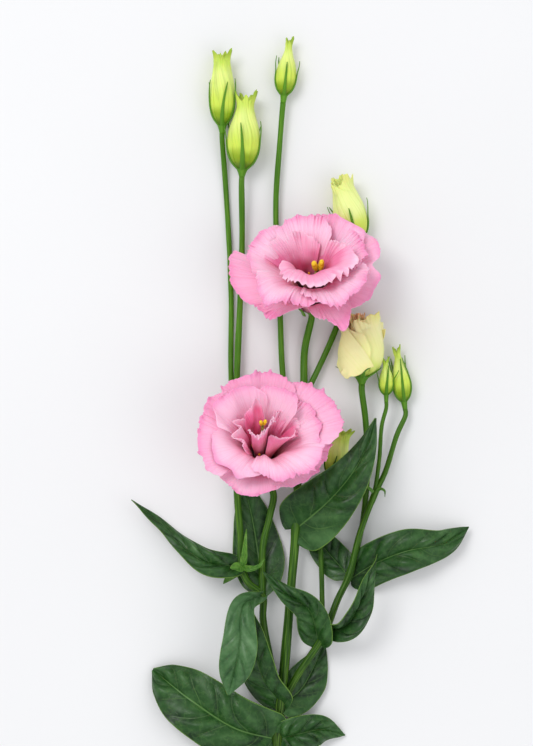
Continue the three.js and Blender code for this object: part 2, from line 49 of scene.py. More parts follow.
DRAWING_TO_FRAME = np.array([-17.611, 17.164, -0.687])
SEED = 11
FLOOR_PRESS = 0.8  # what would lie lower than this is pressed on the floor
UP = np.array([0.0, 0.0, 1.0])


# ---------------------------------------------------------------- curves and small helpers

def mix(a, b, share):
    return a + (b - a) * share


def smooth(x, low, high):
    t = np.clip((x - low) / (high - low), 0, 1)
    return t * t * (3 - 2 * t)


def bell(x, middle, width):
    return np.exp(-(((x - middle) / width) ** 2))


def unit(v):
    return v / np.linalg.norm(v, axis=-1, keepdims=True)


def through(points):
    """A smooth curve y(x) through points (x, y) in order of x."""
    xs, ys = np.array(points, float).T
    slope = np.empty(len(xs))
    slope[1:-1] = (ys[2:] - ys[:-2]) / (xs[2:] - xs[:-2])
    slope[0] = (ys[1] - ys[0]) / (xs[1] - xs[0])
    slope[-1] = (ys[-1] - ys[-2]) / (xs[-1] - xs[-2])

    def curve(x):
        x = np.asarray(x, float)
        i = np.clip(np.searchsorted(xs, x, side="right") - 1, 0, len(xs) - 2)
        h = xs[i + 1] - xs[i]
        t = (x - xs[i]) / h
        value = ys[i] * (1 + 2 * t) * (1 - t) ** 2 + ys[i + 1] * t * t * (3 - 2 * t)
        return value + h * (slope[i] * t * (1 - t) ** 2 + slope[i + 1] * t * t * (t - 1))

    return curve


ROUTE_STEPS = 40  # steps from one point of a route to the next


def along_route(route, count):
    """Evenly spaced points on a smooth curve through the points of a route."""
    p = np.array(route, float)
    p = np.vstack([2 * p[0] - p[1], p, 2 * p[-1] - p[-2]])
    t = np.linspace(0, 1, ROUTE_STEPS, endpoint=False)[:, None]
    pieces = []
    for before, start, end, after in zip(p, p[1:], p[2:], p[3:]):
        d0, d1, d2 = (np.linalg.norm(b - a) ** 0.5 for a, b in [(before, start), (start, end), (end, after)])
        leave = ((start - before) / d0 - (end - before) / (d0 + d1) + (end - start) / d1) * d1
        arrive = ((end - start) / d1 - (after - start) / (d1 + d2) + (after - end) / d2) * d1
        bend = -3 * start + 3 * end - 2 * leave - arrive
        twist = 2 * start - 2 * end + leave + arrive
        pieces.append(start + leave * t + bend * t**2 + twist * t**3)
    fine = np.vstack([*pieces, p[-2][None]])
    run = np.concatenate([[0], np.cumsum(np.linalg.norm(np.diff(fine, axis=0), axis=1))])
    wanted = np.linspace(0, run[-1], count)
    return np.stack([np.interp(wanted, run, fine[:, k]) for k in range(3)], axis=1)


def turned_about(vectors, axes, degrees):
    """Vectors turned about unit axes by an angle each."""
    angle = np.radians(degrees)[..., None]
    c, s = np.cos(angle), np.sin(angle)
    along = (vectors * axes).sum(-1, keepdims=True)
    return vectors * c + np.cross(axes, vectors) * s + axes * along * (1 - c)


def waves(rng, count, low, high):
    """A smooth random function of x: sines with the given range of waves per unit of x."""
    rate = rng.uniform(low, high, count)
    phase = rng.uniform(0, 2 * np.pi, count)
    weight = rng.uniform(0.5, 1, count)
    weight /= np.sqrt((weight**2).sum() / 2)

    def curve(x):
        x = np.asarray(x, float)[..., None]
        return (weight * np.sin(2 * np.pi * rate * x + phase)).sum(-1)

    return curve


def in_frame(points):
    return (np.asarray(points) + DRAWING_TO_FRAME) * MM


def above_floor(points):
    """Places in the frame, where what would sink into the floor is pressed flat on it instead."""
    low = FLOOR_PRESS * MM
    height = points[:, 2]
    pressed = low * np.exp(np.minimum(height / low - 1, 0))
    return np.column_stack([points[:, :2], np.maximum(height, pressed)])


# ---------------------------------------------------------------- shells

class Pile:
    """Shells that are gathered to become one mesh."""

    def __init__(self):
        self.points, self.faces, self.uvs = [], [], []
        self.count = 0

    def add(self, points, faces, uvs):
        self.points.append(points)
        self.uvs.append(uvs)
        self.faces += [tuple(int(i) + self.count for i in face) for face in faces]
        self.count += len(points)

    def placed(self, matrix, origin):
        """The same shells turned by a matrix and moved to an origin."""
        moved = Pile()
        moved.points = [p @ matrix.T + origin for p in self.points]
        moved.faces, moved.uvs, moved.count = self.faces, self.uvs, self.count
        return moved


def grid_faces(rows, columns, closed=False):
    """The faces of a grid of points, which closed joins round its last column to its first."""
    width = columns if closed else columns - 1
    r, c = np.meshgrid(np.arange(rows - 1), np.arange(width), indexing="ij")
    after = (c + 1) % columns
    corners = [r * columns + c, r * columns + after, (r + 1) * columns + after, (r + 1) * columns + c]
    return np.stack([x.ravel() for x in corners], axis=1)


def sheet(pile, points, thickness, uvs):
    """Adds a thin closed shell on both sides of a grid of points. thickness may differ over the grid."""
    rows, columns = points.shape[:2]
    normal = np.cross(np.gradient(points, axis=1), np.gradient(points, axis=0))
    normal /= np.linalg.norm(normal, axis=-1, keepdims=True) + 1e-9
    half = np.broadcast_to(np.asarray(thickness, float), (rows, columns))[..., None] / 2
    both = np.concatenate([(points + normal * half).reshape(-1, 3), (points - normal * half).reshape(-1, 3)])
    front = grid_faces(rows, columns)
    size = rows * columns
    back = front[:, ::-1] + size
    index = np.arange(size).reshape(rows, columns)
    rim = np.concatenate([index[0, :-1], index[:-1, -1], index[-1, :0:-1], index[:0:-1, 0]])
    after = np.roll(rim, -1)
    edge = np.stack([rim, rim + size, after + size, after], axis=1)
    faces = np.concatenate([front[:, ::-1], back[:, ::-1], edge[:, ::-1]])
    pile.add(both, faces, np.concatenate([uvs.reshape(-1, 2)] * 2))


def tube(pile, centres, radii, sides=16, flatten=1.0):
    """Adds a closed round shell along a line of centres. flatten squeezes it across one direction."""
    tangent = unit(np.gradient(centres, axis=0))
    across = [unit(np.cross(tangent[0], UP if abs(tangent[0][2]) < 0.9 else [1.0, 0.0, 0.0]))]
    for direction in tangent[1:]:
        across.append(unit(across[-1] - direction * (across[-1] @ direction)))
    across = np.array(across)
    other = np.cross(tangent, across)
    angle = np.linspace(0, 2 * np.pi, sides, endpoint=False)
    radii = np.broadcast_to(np.asarray(radii, float), (len(centres),))[:, None, None]
    round_part = across[:, None] * np.cos(angle)[:, None] + other[:, None] * np.sin(angle)[:, None] * flatten
    rings = centres[:, None] + radii * round_part
    run = np.concatenate([[0], np.cumsum(np.linalg.norm(np.diff(centres, axis=0), axis=1))])
    u = np.broadcast_to(np.abs(np.linspace(-1, 1, sides, endpoint=False)), (len(centres), sides))
    v = np.broadcast_to(run[:, None], u.shape)
    faces = [tuple(face) for face in grid_faces(len(centres), sides, closed=True)]
    last = (len(centres) - 1) * sides
    faces.append(tuple(range(sides))[::-1])
    faces.append(tuple(range(last, last + sides)))
    pile.add(rings.reshape(-1, 3), faces, np.stack([u, v], axis=-1).reshape(-1, 2))


def make_piece(name, pile, material, nodes):
    """A mesh that stands for CAD nodes, in the frame's place."""
    mesh = bpy.data.meshes.new(name)
    mesh.from_pydata(above_floor(in_frame(np.concatenate(pile.points))).tolist(), [], pile.faces)
    loops = np.empty(len(mesh.loops), np.int32)
    mesh.loops.foreach_get("vertex_index", loops)
    layer = mesh.uv_layers.new(name="place")
    layer.data.foreach_set("uv", np.concatenate(pile.uvs)[loops].astype(np.float32).ravel())
    mesh.polygons.foreach_set("use_smooth", [True] * len(mesh.polygons))
    mesh.materials.append(material)
    mesh.update()
    piece = bpy.data.objects.new(name, mesh)
    bpy.context.scene.collection.objects.link(piece)
    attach(piece, "root")
    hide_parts(*nodes)
    return piece


# ---------------------------------------------------------------- materials

def colour(red, green, blue):
    """A colour of 0 to 255 as shown on a screen, as the light that a material takes."""
    share = np.array([red, green, blue]) / 255
    light = np.where(share <= 0.04045, share / 12.92, ((share + 0.055) / 1.055) ** 2.4)
    return (*light.tolist(), 1.0)


class Shades:
    """The nodes of one material, built up by calls that return their output sockets."""

    def __init__(self, name, specular=0.25, subsurface=0.0, sheen=0.0):
        self.material = bpy.data.materials.new(name)
        self.material.use_nodes = True
        self.tree = self.material.node_tree
        self.surface = self.tree.nodes["Principled BSDF"]
        constants = {
            "Specular IOR Level": specular,
            "Subsurface Weight": subsurface,
            "Subsurface Radius": (1.0, 0.35, 0.45),
            "Subsurface Scale": 0.0015,
            "Sheen Weight": sheen,
            "Sheen Roughness": 0.5,
        }
        for socket, value in constants.items():
            self.surface.inputs[socket].default_value = value
        self.place = self.tree.nodes.new("ShaderNodeUVMap")
        self.place.uv_map = "place"
        self.object_place = self.tree.nodes.new("ShaderNodeTexCoord").outputs["Object"]
        self.across = self.part_of(self.place.outputs["UV"], "X")
        self.along = self.part_of(self.place.outputs["UV"], "Y")
        self.up_the_stem = self.part_of(self.object_place, "Y")

    def part_of(self, vector, axis):
        node = self.tree.nodes.new("ShaderNodeSeparateXYZ")
        self.join(vector, node.inputs[0])
        return node.outputs[axis]

    def join(self, start, end):
        self.tree.links.new(start, end)

    def noise(self, scale, stretch=None, detail=3.0, roughness=0.5):
        """Noise over the object, or over the sheet with its own scale across and along."""
        node = self.tree.nodes.new("ShaderNodeTexNoise")
        node.inputs["Scale"].default_value = scale
        node.inputs["Detail"].default_value = detail
        node.inputs["Roughness"].default_value = roughness
        if stretch is None:
            self.join(self.object_place, node.inputs["Vector"])
        else:
            mapping = self.tree.nodes.new("ShaderNodeMapping")
            mapping.inputs["Scale"].default_value = (*stretch, 1.0)
            self.join(self.place.outputs["UV"], mapping.inputs["Vector"])
            self.join(mapping.outputs["Vector"], node.inputs["Vector"])
        return node.outputs["Fac"]

    def sums(self, operation, *values):
        node = self.tree.nodes.new("ShaderNodeMath")
        node.operation = operation
        for socket, value in zip(node.inputs, values):
            if isinstance(value, (int, float)):
                socket.default_value = value
            else:
                self.join(value, socket)
        return node.outputs[0]

    def ramp(self, value, stops):
        """Colours, or greys given as single numbers, at places along a value."""
        node = self.tree.nodes.new("ShaderNodeValToRGB")
        node.color_ramp.interpolation = "EASE"
        elements = node.color_ramp.elements
        while len(elements) < len(stops):
            elements.new(0.5)
        for element, (place, shade) in zip(elements, stops):
            element.position = place
            element.color = colour(*shade) if isinstance(shade, tuple) else (shade, shade, shade, 1.0)
        self.join(value, node.inputs["Fac"])
        return node.outputs["Color"]

    def blend(self, share, first, second):
        """The first colour with a share of the second over it. The second may be three numbers."""
        node = self.tree.nodes.new("ShaderNodeMix")
        node.data_type = "RGBA"
        for name, value in (("Factor", share), ("A", first), ("B", second)):
            socket = next(s for s in node.inputs if s.name == name and s.enabled)
            if isinstance(value, tuple):
                socket.default_value = colour(*value)
            else:
                self.join(value, socket)
        return next(s for s in node.outputs if s.enabled)

    def bump(self, height, strength, distance):
        node = self.tree.nodes.new("ShaderNodeBump")
        node.inputs["Strength"].default_value = strength
        node.inputs["Distance"].default_value = distance * MM
        self.join(height, node.inputs["Height"])
        self.join(node.outputs["Normal"], self.surface.inputs["Normal"])

    def finish(self, base_colour, rough_low, rough_high):
        """Sets the base colour, and a roughness that varies a little over the surface."""
        self.join(base_colour, self.surface.inputs["Base Color"])
        patches = self.noise(260.0, detail=2.0)
        rough = self.ramp(patches, [(0.3, rough_low), (0.7, rough_high)])
        self.join(rough, self.surface.inputs["Roughness"])
        return self.material


def petal_material(name, stops, vein_strength, rim_colour):
    """Colours along a petal from its foot to its rim, with fine veins that run along it."""
    shades = Shades(name, subsurface=0.25, sheen=0.12)
    wander = shades.noise(60.0, detail=2.0)
    place = shades.sums("ADD", shades.along, shades.sums("MULTIPLY_ADD", wander, 0.16, -0.08))
    base = shades.ramp(place, stops)
    broad_veins = shades.noise(1.0, stretch=(26.0, 1.1), detail=4.0, roughness=0.62)
    fine_veins = shades.noise(1.0, stretch=(90.0, 1.6), detail=2.0)
    veins = shades.sums("MULTIPLY_ADD", fine_veins, 0.4, shades.sums("MULTIPLY", broad_veins, 0.6))
    lines = shades.ramp(veins, [(0.5, 0.0), (0.6, 1.0)])
    strength = shades.ramp(shades.along, [(0.1, vein_strength), (0.55, vein_strength * 0.8), (0.95, 0.12)])
    veined = shades.blend(shades.sums("MULTIPLY", lines, strength), base, VEIN_PINK)
    clouds = shades.noise(45.0)
    paler = shades.ramp(clouds, [(0.4, 0.0), (0.75, 0.35)])
    lightened = shades.blend(paler, veined, CLOUD_PINK)
    rim = shades.ramp(shades.along, [(0.93, 0.0), (1.0, 0.75)])
    edged = shades.blend(rim, lightened, rim_colour)
    shades.bump(veins, 0.35, 0.35)
    return shades.finish(edged, 0.5, 0.68)


def leaf_material(name, deep, light, bloom, vein):
    """Dull dark green with a grey bloom, a pale midrib, finer side veins and a thin yellowish margin.

    Along a leaf v counts its side veins, so that one lies at each whole number. Painted light makes the
    green lighter on the crests between the side veins, and painted shade makes it darker along them, over
    random patches of the leaf's own tone.
    """
    shades = Shades(name, specular=0.28, subsurface=0.04)
    side = shades.sums("ABSOLUTE", shades.across)
    from_vein = shades.sums("PINGPONG", shades.along, 0.5)
    patches = shades.noise(42.0, detail=4.0, roughness=0.6)
    # pillow is low along the side veins, so the ramp paints shade in these valleys and light over the crests
    # between them, on top of the random patches
    pillow = shades.sums("MULTIPLY_ADD", from_vein, 0.35, shades.sums("MULTIPLY_ADD", patches, 0.9, -0.05))
    base = shades.ramp(pillow, [(0.3, deep), (0.52, light), (0.78, bloom)])
    grain = shades.noise(420.0, detail=2.0)
    base = shades.blend(shades.ramp(grain, [(0.38, 0.0), (0.7, 0.25)]), base, bloom)
    midrib = shades.ramp(side, [(0.014, 1.0), (0.045, 0.0)])
    inside = shades.ramp(side, [(0.6, 0.55), (0.92, 0.0)])
    side_veins = shades.sums("MULTIPLY", shades.ramp(from_vein, [(0.0, 1.0), (0.045, 0.0)]), inside)
    net = shades.noise(150.0, detail=3.0, roughness=0.5)
    fine_veins = shades.ramp(net, [(0.47, 0.0), (0.5, 0.22), (0.53, 0.0)])
    vein_share = shades.sums("MAXIMUM", shades.sums("MAXIMUM", midrib, side_veins), fine_veins)
    margin = shades.ramp(side, [(0.965, 0.0), (0.99, 0.8)])
    veined = shades.blend(shades.sums("MULTIPLY", vein_share, 0.6), base, vein)
    edged = shades.blend(margin, veined, LEAF_MARGIN)
    relief = shades.sums("MULTIPLY_ADD", vein_share, -0.8, patches)
    shades.bump(relief, 0.5, 0.5)
    return shades.finish(edged, 0.3, 0.46)


def stalk_material(name, low, middle, high, streak):
    """Green that lightens up the stem, with streaks along the stalk."""
    shades = Shades(name, specular=0.2, subsurface=0.06)
    height = shades.sums("MULTIPLY_ADD", shades.up_the_stem, 2.6, 0.5)
    base = shades.ramp(height, [(0.02, low), (0.2, middle), (0.62, high)])
    streaks = shades.noise(1.0, stretch=(9.0, 0.045), detail=3.0, roughness=0.6)
    lines = shades.ramp(streaks, [(0.42, 0.0), (0.7, 0.5)])
    patches = shades.noise(55.0, detail=3.0)
    dull = shades.ramp(patches, [(0.35, 0.0), (0.7, 0.3)])
    streaked = shades.blend(lines, base, streak)
    dulled = shades.blend(dull, streaked, middle)
    shades.bump(streaks, 0.3, 0.25)
    return shades.finish(dulled, 0.34, 0.5)


def bud_material(name, stops, vein_colour):
    """Colours from the foot of a rolled petal to its tip, with fine veins."""
    shades = Shades(name, subsurface=0.2, sheen=0.05)
    wander = shades.noise(80.0, detail=2.0)
    place = shades.sums("ADD", shades.along, shades.sums("MULTIPLY_ADD", wander, 0.2, -0.1))
    base = shades.ramp(place, stops)
    veins = shades.noise(1.0, stretch=(14.0, 0.9), detail=4.0, roughness=0.6)
    lines = shades.ramp(veins, [(0.48, 0.0), (0.7, 0.4)])
    veined = shades.blend(lines, base, vein_colour)
    shades.bump(veins, 0.25, 0.3)
    return shades.finish(veined, 0.42, 0.58)


def small_material(name, first, second, scale):
    """Two colours in fine patches, for the parts in the middle of a flower."""
    shades = Shades(name, subsurface=0.1)
    patches = shades.noise(scale, detail=4.0, roughness=0.65)
    base = shades.ramp(patches, [(0.35, first), (0.65, second)])
    shades.bump(patches, 0.6, 0.4)
    return shades.finish(base, 0.5, 0.7)


VEIN_PINK = (204, 62, 112)
CLOUD_PINK = (255, 214, 230)
RIM_PINK = (240, 146, 190)
INNER_RIM_PINK = (250, 190, 212)
LEAF_MARGIN = (104, 140, 52)
OUTER_STOPS = [
    (0.0, (150, 64, 80)),
    (0.14, (186, 88, 116)),
    (0.3, (222, 118, 154)),
    (0.5, (242, 142, 182)),
    (0.8, (251, 182, 211)),
    (1.0, (246, 162, 198)),
]
# The middle petals have a dark red foot of their own. Painted shade darkens it further, to near black, deep
# in the flower's throat.
MIDDLE_STOPS_WITH_THROAT_SHADE = [
    (0.0, (30, 5, 4)),
    (0.16, (96, 20, 26)),
    (0.27, (206, 104, 112)),
    (0.38, (246, 164, 172)),
    (0.56, (248, 168, 196)),
    (0.82, (253, 196, 220)),
    (1.0, (248, 170, 204)),
]
# The same dark red foot, with painted throat shade, on the inner petals.
INNER_STOPS_WITH_THROAT_SHADE = [
    (0.0, (20, 2, 3)),
    (0.35, (66, 7, 14)),
    (0.54, (176, 44, 84)),
    (0.72, (232, 112, 158)),
    (0.88, (250, 162, 196)),
    (1.0, (252, 200, 222)),
]
# A stronger pink for some inner petals. Painted shade darkens it further where these petals stand deep in
# the flower, and the same painted throat shade darkens the foot to near black.
DEEP_PINK_AND_SHADE_STOPS = [
    (0.0, (20, 2, 3)),
    (0.2, (72, 6, 14)),
    (0.38, (180, 34, 70)),
    (0.6, (216, 70, 118)),
    (0.86, (238, 112, 160)),
    (1.0, (248, 160, 194)),
]
GREEN_BUD_STOPS = [
    (0.0, (84, 118, 12)),
    (0.12, (138, 168, 26)),
    (0.3, (206, 224, 84)),
    (0.62, (232, 242, 134)),
    (0.84, (206, 226, 96)),
    (1.0, (150, 182, 52)),
]
PALE_BUD_STOPS = [
    (0.0, (120, 150, 30)),
    (0.2, (206, 222, 90)),
    (0.5, (238, 244, 156)),
    (1.0, (226, 232, 134)),
]
CREAM_BUD_STOPS = [
    (0.0, (160, 186, 50)),
    (0.12, (220, 230, 120)),
    (0.34, (240, 236, 158)),
    (0.75, (240, 230, 168)),
    (1.0, (230, 222, 138)),
]
CRUMPLED_STOPS = [
    (0.0, (226, 224, 132)),
    (0.6, (244, 234, 164)),
    (0.86, (248, 222, 166)),
    (1.0, (226, 170, 116)),
]

MATERIALS = {
    "outer": petal_material("outer_petal_pink", OUTER_STOPS, 0.4, RIM_PINK),
    "middle": petal_material("middle_petal_pink", MIDDLE_STOPS_WITH_THROAT_SHADE, 0.5, RIM_PINK),
    "inner": petal_material("inner_petal_pink", INNER_STOPS_WITH_THROAT_SHADE, 0.5, INNER_RIM_PINK),
    "deep": petal_material("deep_pink_and_shade_petal", DEEP_PINK_AND_SHADE_STOPS, 0.5, INNER_RIM_PINK),
    "leaf": leaf_material("leaf_green", (9, 38, 10), (30, 70, 22), (68, 108, 56), (96, 138, 64)),
    "pale_leaf": leaf_material("leaf_underside", (34, 74, 34), (60, 100, 54), (98, 134, 90), (50, 90, 40)),
    "bract": leaf_material("bract_green", (40, 88, 14), (74, 124, 28), (112, 156, 60), (150, 186, 90)),
    "stalk": stalk_material("stalk_green", (12, 30, 6), (34, 72, 8), (66, 118, 14), (120, 164, 52)),
    "sepal": stalk_material("sepal_green", (40, 80, 12), (52, 98, 14), (82, 136, 26), (122, 168, 58)),
    "bud": bud_material("bud_green", GREEN_BUD_STOPS, (150, 182, 56)),
    "pale_bud": bud_material("bud_pale", PALE_BUD_STOPS, (196, 212, 96)),
    "open_bud": bud_material("bud_cream", CREAM_BUD_STOPS, (226, 224, 140)),
    "crumpled": bud_material("bud_crumpled", CRUMPLED_STOPS, (222, 170, 112)),
    "stigma": small_material("stigma_yellow", (232, 190, 24), (252, 226, 64), 900.0),
    "anther": small_material("anther_orange", (196, 120, 20), (236, 176, 40), 900.0),
    "pistil": small_material("pistil_green", (120, 132, 52), (178, 176, 96), 500.0),
}


# ---------------------------------------------------------------- petals

BASE_HALF_ANGLE = 38
LEAN_STEPS = 24
PETAL_THICKNESS = 0.4
PETAL_GRID = (56, 151)  # points along a petal and across it
BASE_RADIUS = {"outer": 5.3, "middle": 4.3, "inner": 3.3}
NIB = (0.03, 0.036, 45)  # half width across, height as a share of the petal's length, degrees it turns up
DIP = (0.1, 0.12)  # half width across the petal, and depth as a share of its length
OWN_PLACE = 2.7  # how far apart two sheets lie in their material, so that each has its own veins
PLAIN_PETAL = {
    "widening": (0.2, 0.6),
    "ruffle": 5,
    "frill": 3,
    "rounding": 0.14,
    "point": 0,
    "point_at": 0,
    "nibs": (),
    "dips": (),
    "deep": False,
}


def lean_curve(leans):
    """How far a petal's line leans outwards, from its leans at even steps along it."""
    return through(list(zip(np.linspace(0, 1, len(leans)), leans)))


def follow(lean_at, base_radius, length, share):
    """Radius, height and lean where a line that leans by lean_at(q) has run a share of its length."""
    step = length * share / LEAN_STEPS
    radius = base_radius
    height = 0.0
    for i in range(LEAN_STEPS):
        lean = np.radians(lean_at((i + 0.5) / LEAN_STEPS * share))
        radius = radius + step * np.sin(lean)
        height = height + step * np.cos(lean)
    return radius, height, lean


def petal(angle, half_angle, length, leans, far_leans=None, far_length=None, **more):
    """One petal: its place round the flower, its reach to each side, its length and its leans.

    far_leans and far_length are those of its edge at a = 1, where they differ from those at a = -1. more
    differs from PLAIN_PETAL: widening, the shares of its length between which it widens; ruffle and frill,
    the degrees of its broad and fine waves; rounding of the rim's corners; point, how far the rim is drawn
    out at point_at, as a share of the length; nibs and dips, places on the rim with a small point or a fold;
    deep, for a petal of a stronger pink that is darkened further with painted shade.
    """
    return {
        **PLAIN_PETAL,
        "angle": angle,
        "half_angle": half_angle,
        "lengths": (length, far_length or length),
        "leans": (lean_curve(leans), lean_curve(far_leans or leans)),
        **more,
    }


def own_place(a, share, number):
    """Places on a sheet for its material, which differ from those of sheets with another number."""
    return np.stack([np.broadcast_to(a + OWN_PLACE * number, share.shape), share], axis=-1)


def petal_points(facts, base_radius, shared_waves, rng):
    """A grid of points over one petal, in its flower's frame, and their places for the material."""
    rows, columns = PETAL_GRID
    a = np.linspace(-1, 1, columns)[None, :]
    far = smooth(a, -1, 1)
    t = np.linspace(0, 1, rows)[:, None] ** 0.85
    ragged = waves(rng, 5, 1.2, 4)(a)
    notches = waves(rng, 6, 6, 19)(a)
    frilly = facts["frill"] * mix(0.3, 1, smooth(waves(rng, 3, 0.7, 1.8)(a), -0.8, 1.0))
    rim = 1 - facts["rounding"] * np.abs(a) ** 3 + 0.008 * ragged + 0.0009 * frilly * notches
    rim = rim + facts["point"] * (bell(a, facts["point_at"], 0.35) - 0.35)
    nib_width, nib_height, nib_turn = NIB
    dip_width, dip_depth = DIP
    nibs = sum((bell(a, place, nib_width) for place in facts["nibs"]), np.zeros_like(a))
    dips = sum((bell(a, place, dip_width) for place in facts["dips"]), np.zeros_like(a))
    rim = rim + nib_height * nibs - dip_depth * dips
    share = t * rim
    half = mix(BASE_HALF_ANGLE, facts["half_angle"], smooth(share, *facts["widening"]))
    angle = facts["angle"] + half * a
    shared = shared_waves(angle / 360)
    own = waves(rng, 4, 0.6, 1.8)(a)
    fine = waves(rng, 5, 4.5, 12)(a)

    def lean_at(q):
        lean = mix(facts["leans"][0](q), facts["leans"][1](q), far)
        ruffle = facts["ruffle"] * (0.5 * shared + 0.6 * own) * q**2.2
        frill = frilly * fine * smooth(q, 0.75, 1)
        return lean + ruffle + frill - nib_turn * nibs * smooth(q, 0.93, 1)

    radius, height, lean = follow(lean_at, base_radius, mix(*facts["lengths"], far), share)
    gather = 0.05 * facts["frill"] * waves(rng, 4, 4, 9)(a) * smooth(share, 0.6, 1)
    turned = np.radians(angle + gather)
    radial = np.stack([np.cos(turned), np.sin(turned), np.zeros_like(turned)], axis=-1)
    outward = radial * np.cos(lean)[..., None] - UP * np.sin(lean)[..., None]
    dents = waves(rng, 3, 0.6, 1.5)(a) * waves(rng, 3, 0.8, 2.2)(t)
    overlap = a * (0.25 + 1.3 * share**2)
    pleats = 0.011 * frilly * (notches + 1.5 * fine) * smooth(share, 0.4, 1)
    off = overlap + 0.35 * dents * smooth(share, 0.2, 0.6) + pleats - 2 * dips * share**2
    points = radial * radius[..., None] + UP * height[..., None] + outward * off[..., None]
    return points, own_place(a, share, rng.integers(1, 40))


def flower_matrix(tilt, sway):
    """Turns a flower's own frame: tilted towards the stem's top end and swayed to the right, in degrees."""
    x, y = np.radians(-tilt), np.radians(sway)
    about_x = np.array([[1, 0, 0], [0, np.cos(x), -np.sin(x)], [0, np.sin(x), np.cos(x)]])
    about_y = np.array([[np.cos(y), 0, np.sin(y)], [0, 1, 0], [-np.sin(y), 0, np.cos(y)]])
    return about_y @ about_x


# Each flower: where it grows, how it is turned, its middle and its whorls. The pistil's bend is how far its
# top stands to each side, lobe the size of its stigma and spread how far the stamens lean out.
FLOWERS = {
    "front": {
        "base": (-3.9, -48.2, 16),
        "tilt": 32,
        "sway": 7,
        "sepal_leans": (16, 28, 48, 60, 70),
        "pistil": {"height": 40, "bend": (-1.5, 4.0), "lobe": 0.72, "spread": 2.3},
        "outer": (
            petal(97, 47, 50, (16, 20, 32, 48, 74), frill=4, nibs=(-0.62, -0.3, 0.0, 0.7)),
            petal(
                30, 47, 57, (16, 24, 40, 60, 80), (16, 20, 32, 48, 74), 50,
                frill=4, nibs=(-0.72, -0.38, 0.12, 0.34),
            ),
            petal(-32, 47, 29, (18, 28, 50, 78, 102), (16, 24, 40, 60, 82), 47, frill=4, nibs=(0.0, 0.5)),
            petal(
                -108, 48, 30.5, (18, 34, 60, 86, 104), (16, 24, 42, 74, 108), 29.5,
                nibs=(-0.6, -0.35, 0.2),
            ),
            petal(
                170, 50, 49, (16, 20, 32, 50, 76), (16, 28, 48, 72, 94), 43,
                frill=4, nibs=(-0.51, -0.1, 0.11, 0.48),
            ),
        ),
        "middle": (
            petal(130, 46, 47, (12, 15, 23, 33, 46), (12, 17, 29, 46, 66), 50, frill=1, nibs=(0.3,)),
            petal(68, 40, 47, (12, 15, 23, 33, 46), frill=1, nibs=(-0.4,)),
            petal(14, 40, 46, (12, 19, 32, 48, 66), (12, 17, 28, 42, 58), frill=4),
            petal(
                -60, 56, 40, (8, 8, 14, 72, 118), (12, 16, 34, 58, 82), 53,
                ruffle=7, frill=9, nibs=(0.0, 0.3),
            ),
            petal(-146, 50, 42, (10, 16, 36, 66, 92), (8, 8, 18, 80, 130), frill=1),
        ),
        "inner": (
            petal(
                126, 42, 43, (6, 7, 12, 20, 28),
                ruffle=2, frill=2, rounding=0.3, point=0.16, point_at=-0.35, deep=True,
            ),
            petal(36, 40, 37, (8, 12, 24, 42, 66), (8, 10, 18, 28, 40), ruffle=8, frill=10, nibs=(-0.15,)),
            petal(
                -33, 52, 43, (10, 8, 5, 3, 6), (6, 11, 19, 27, 32), 39,
                ruffle=1, rounding=0.1, deep=True,
            ),
            petal(
                -106, 48, 47, (7, 9, 11, 13, 36), (-2, -4, -5, -1, 28), 55,
                widening=(0.3, 0.75), ruffle=3, frill=8, rounding=0.0, point=0.1, nibs=(0.9,),
            ),
            petal(178, 48, 38, (6, 9, 18, 28, 38), ruffle=12, frill=4, rounding=0.2),
        ),
    },
    "top": {
        "base": (23.1, 35.2, 13),
        "tilt": 41,
        "sway": -4,
        "sepal_leans": (16, 32, 54, 68, 78),
        "pistil": {"height": 29.5, "bend": (4.6, 2.8), "lobe": 1.2, "spread": 0.9},
        "outer": (
            petal(72, 56, 49, (16, 22, 36, 56, 82), (16, 20, 32, 46, 66), 45, ruffle=8, frill=5),
            petal(-2, 50, 37, (18, 34, 58, 82, 98), (16, 26, 42, 60, 82), 52, ruffle=6, dips=(0.12,)),
            petal(-61, 34, 36, (18, 30, 52, 74, 94), None, 41, ruffle=6, frill=4, rounding=0.45, point=0.2),
            petal(
                -132, 38, 30, (18, 32, 52, 76, 94), (16, 26, 46, 70, 90), 33,
                ruffle=6, frill=4, rounding=0.45, point=0.2,
            ),
            petal(
                193, 33, 49, (20, 38, 60, 76, 84), (18, 36, 58, 72, 84), 36,
                ruffle=6, frill=5, rounding=0.04,
            ),
        ),
        "middle": (
            petal(98, 44, 47, (10, 17, 27, 42, 60), ruffle=8, frill=8),
            petal(24, 43, 46, (10, 20, 34, 50, 68), ruffle=8, frill=8),
            petal(-50, 46, 53, (12, 18, 33, 61, 98), ruffle=8, frill=9),
            petal(-112, 46, 53, (10, 16, 32, 61, 102), ruffle=8, frill=9),
            petal(165, 46, 48, (10, 20, 34, 48, 62), ruffle=9, frill=8),
        ),
        "inner": (
            petal(120, 54, 38, (8, 12, 22, 32, 44), (8, 15, 30, 44, 58), 44, ruffle=9, frill=8),
            petal(26, 46, 44, (8, 16, 32, 46, 60), (8, 12, 20, 30, 42), 38, ruffle=9, frill=7),
            petal(-68, 82, 51, (6, 6, 9, 46, 100), (8, 9, 19, 52, 80), 54, ruffle=6, frill=10),
        ),
    },
}
WHORLS = ("outer", "middle", "inner")


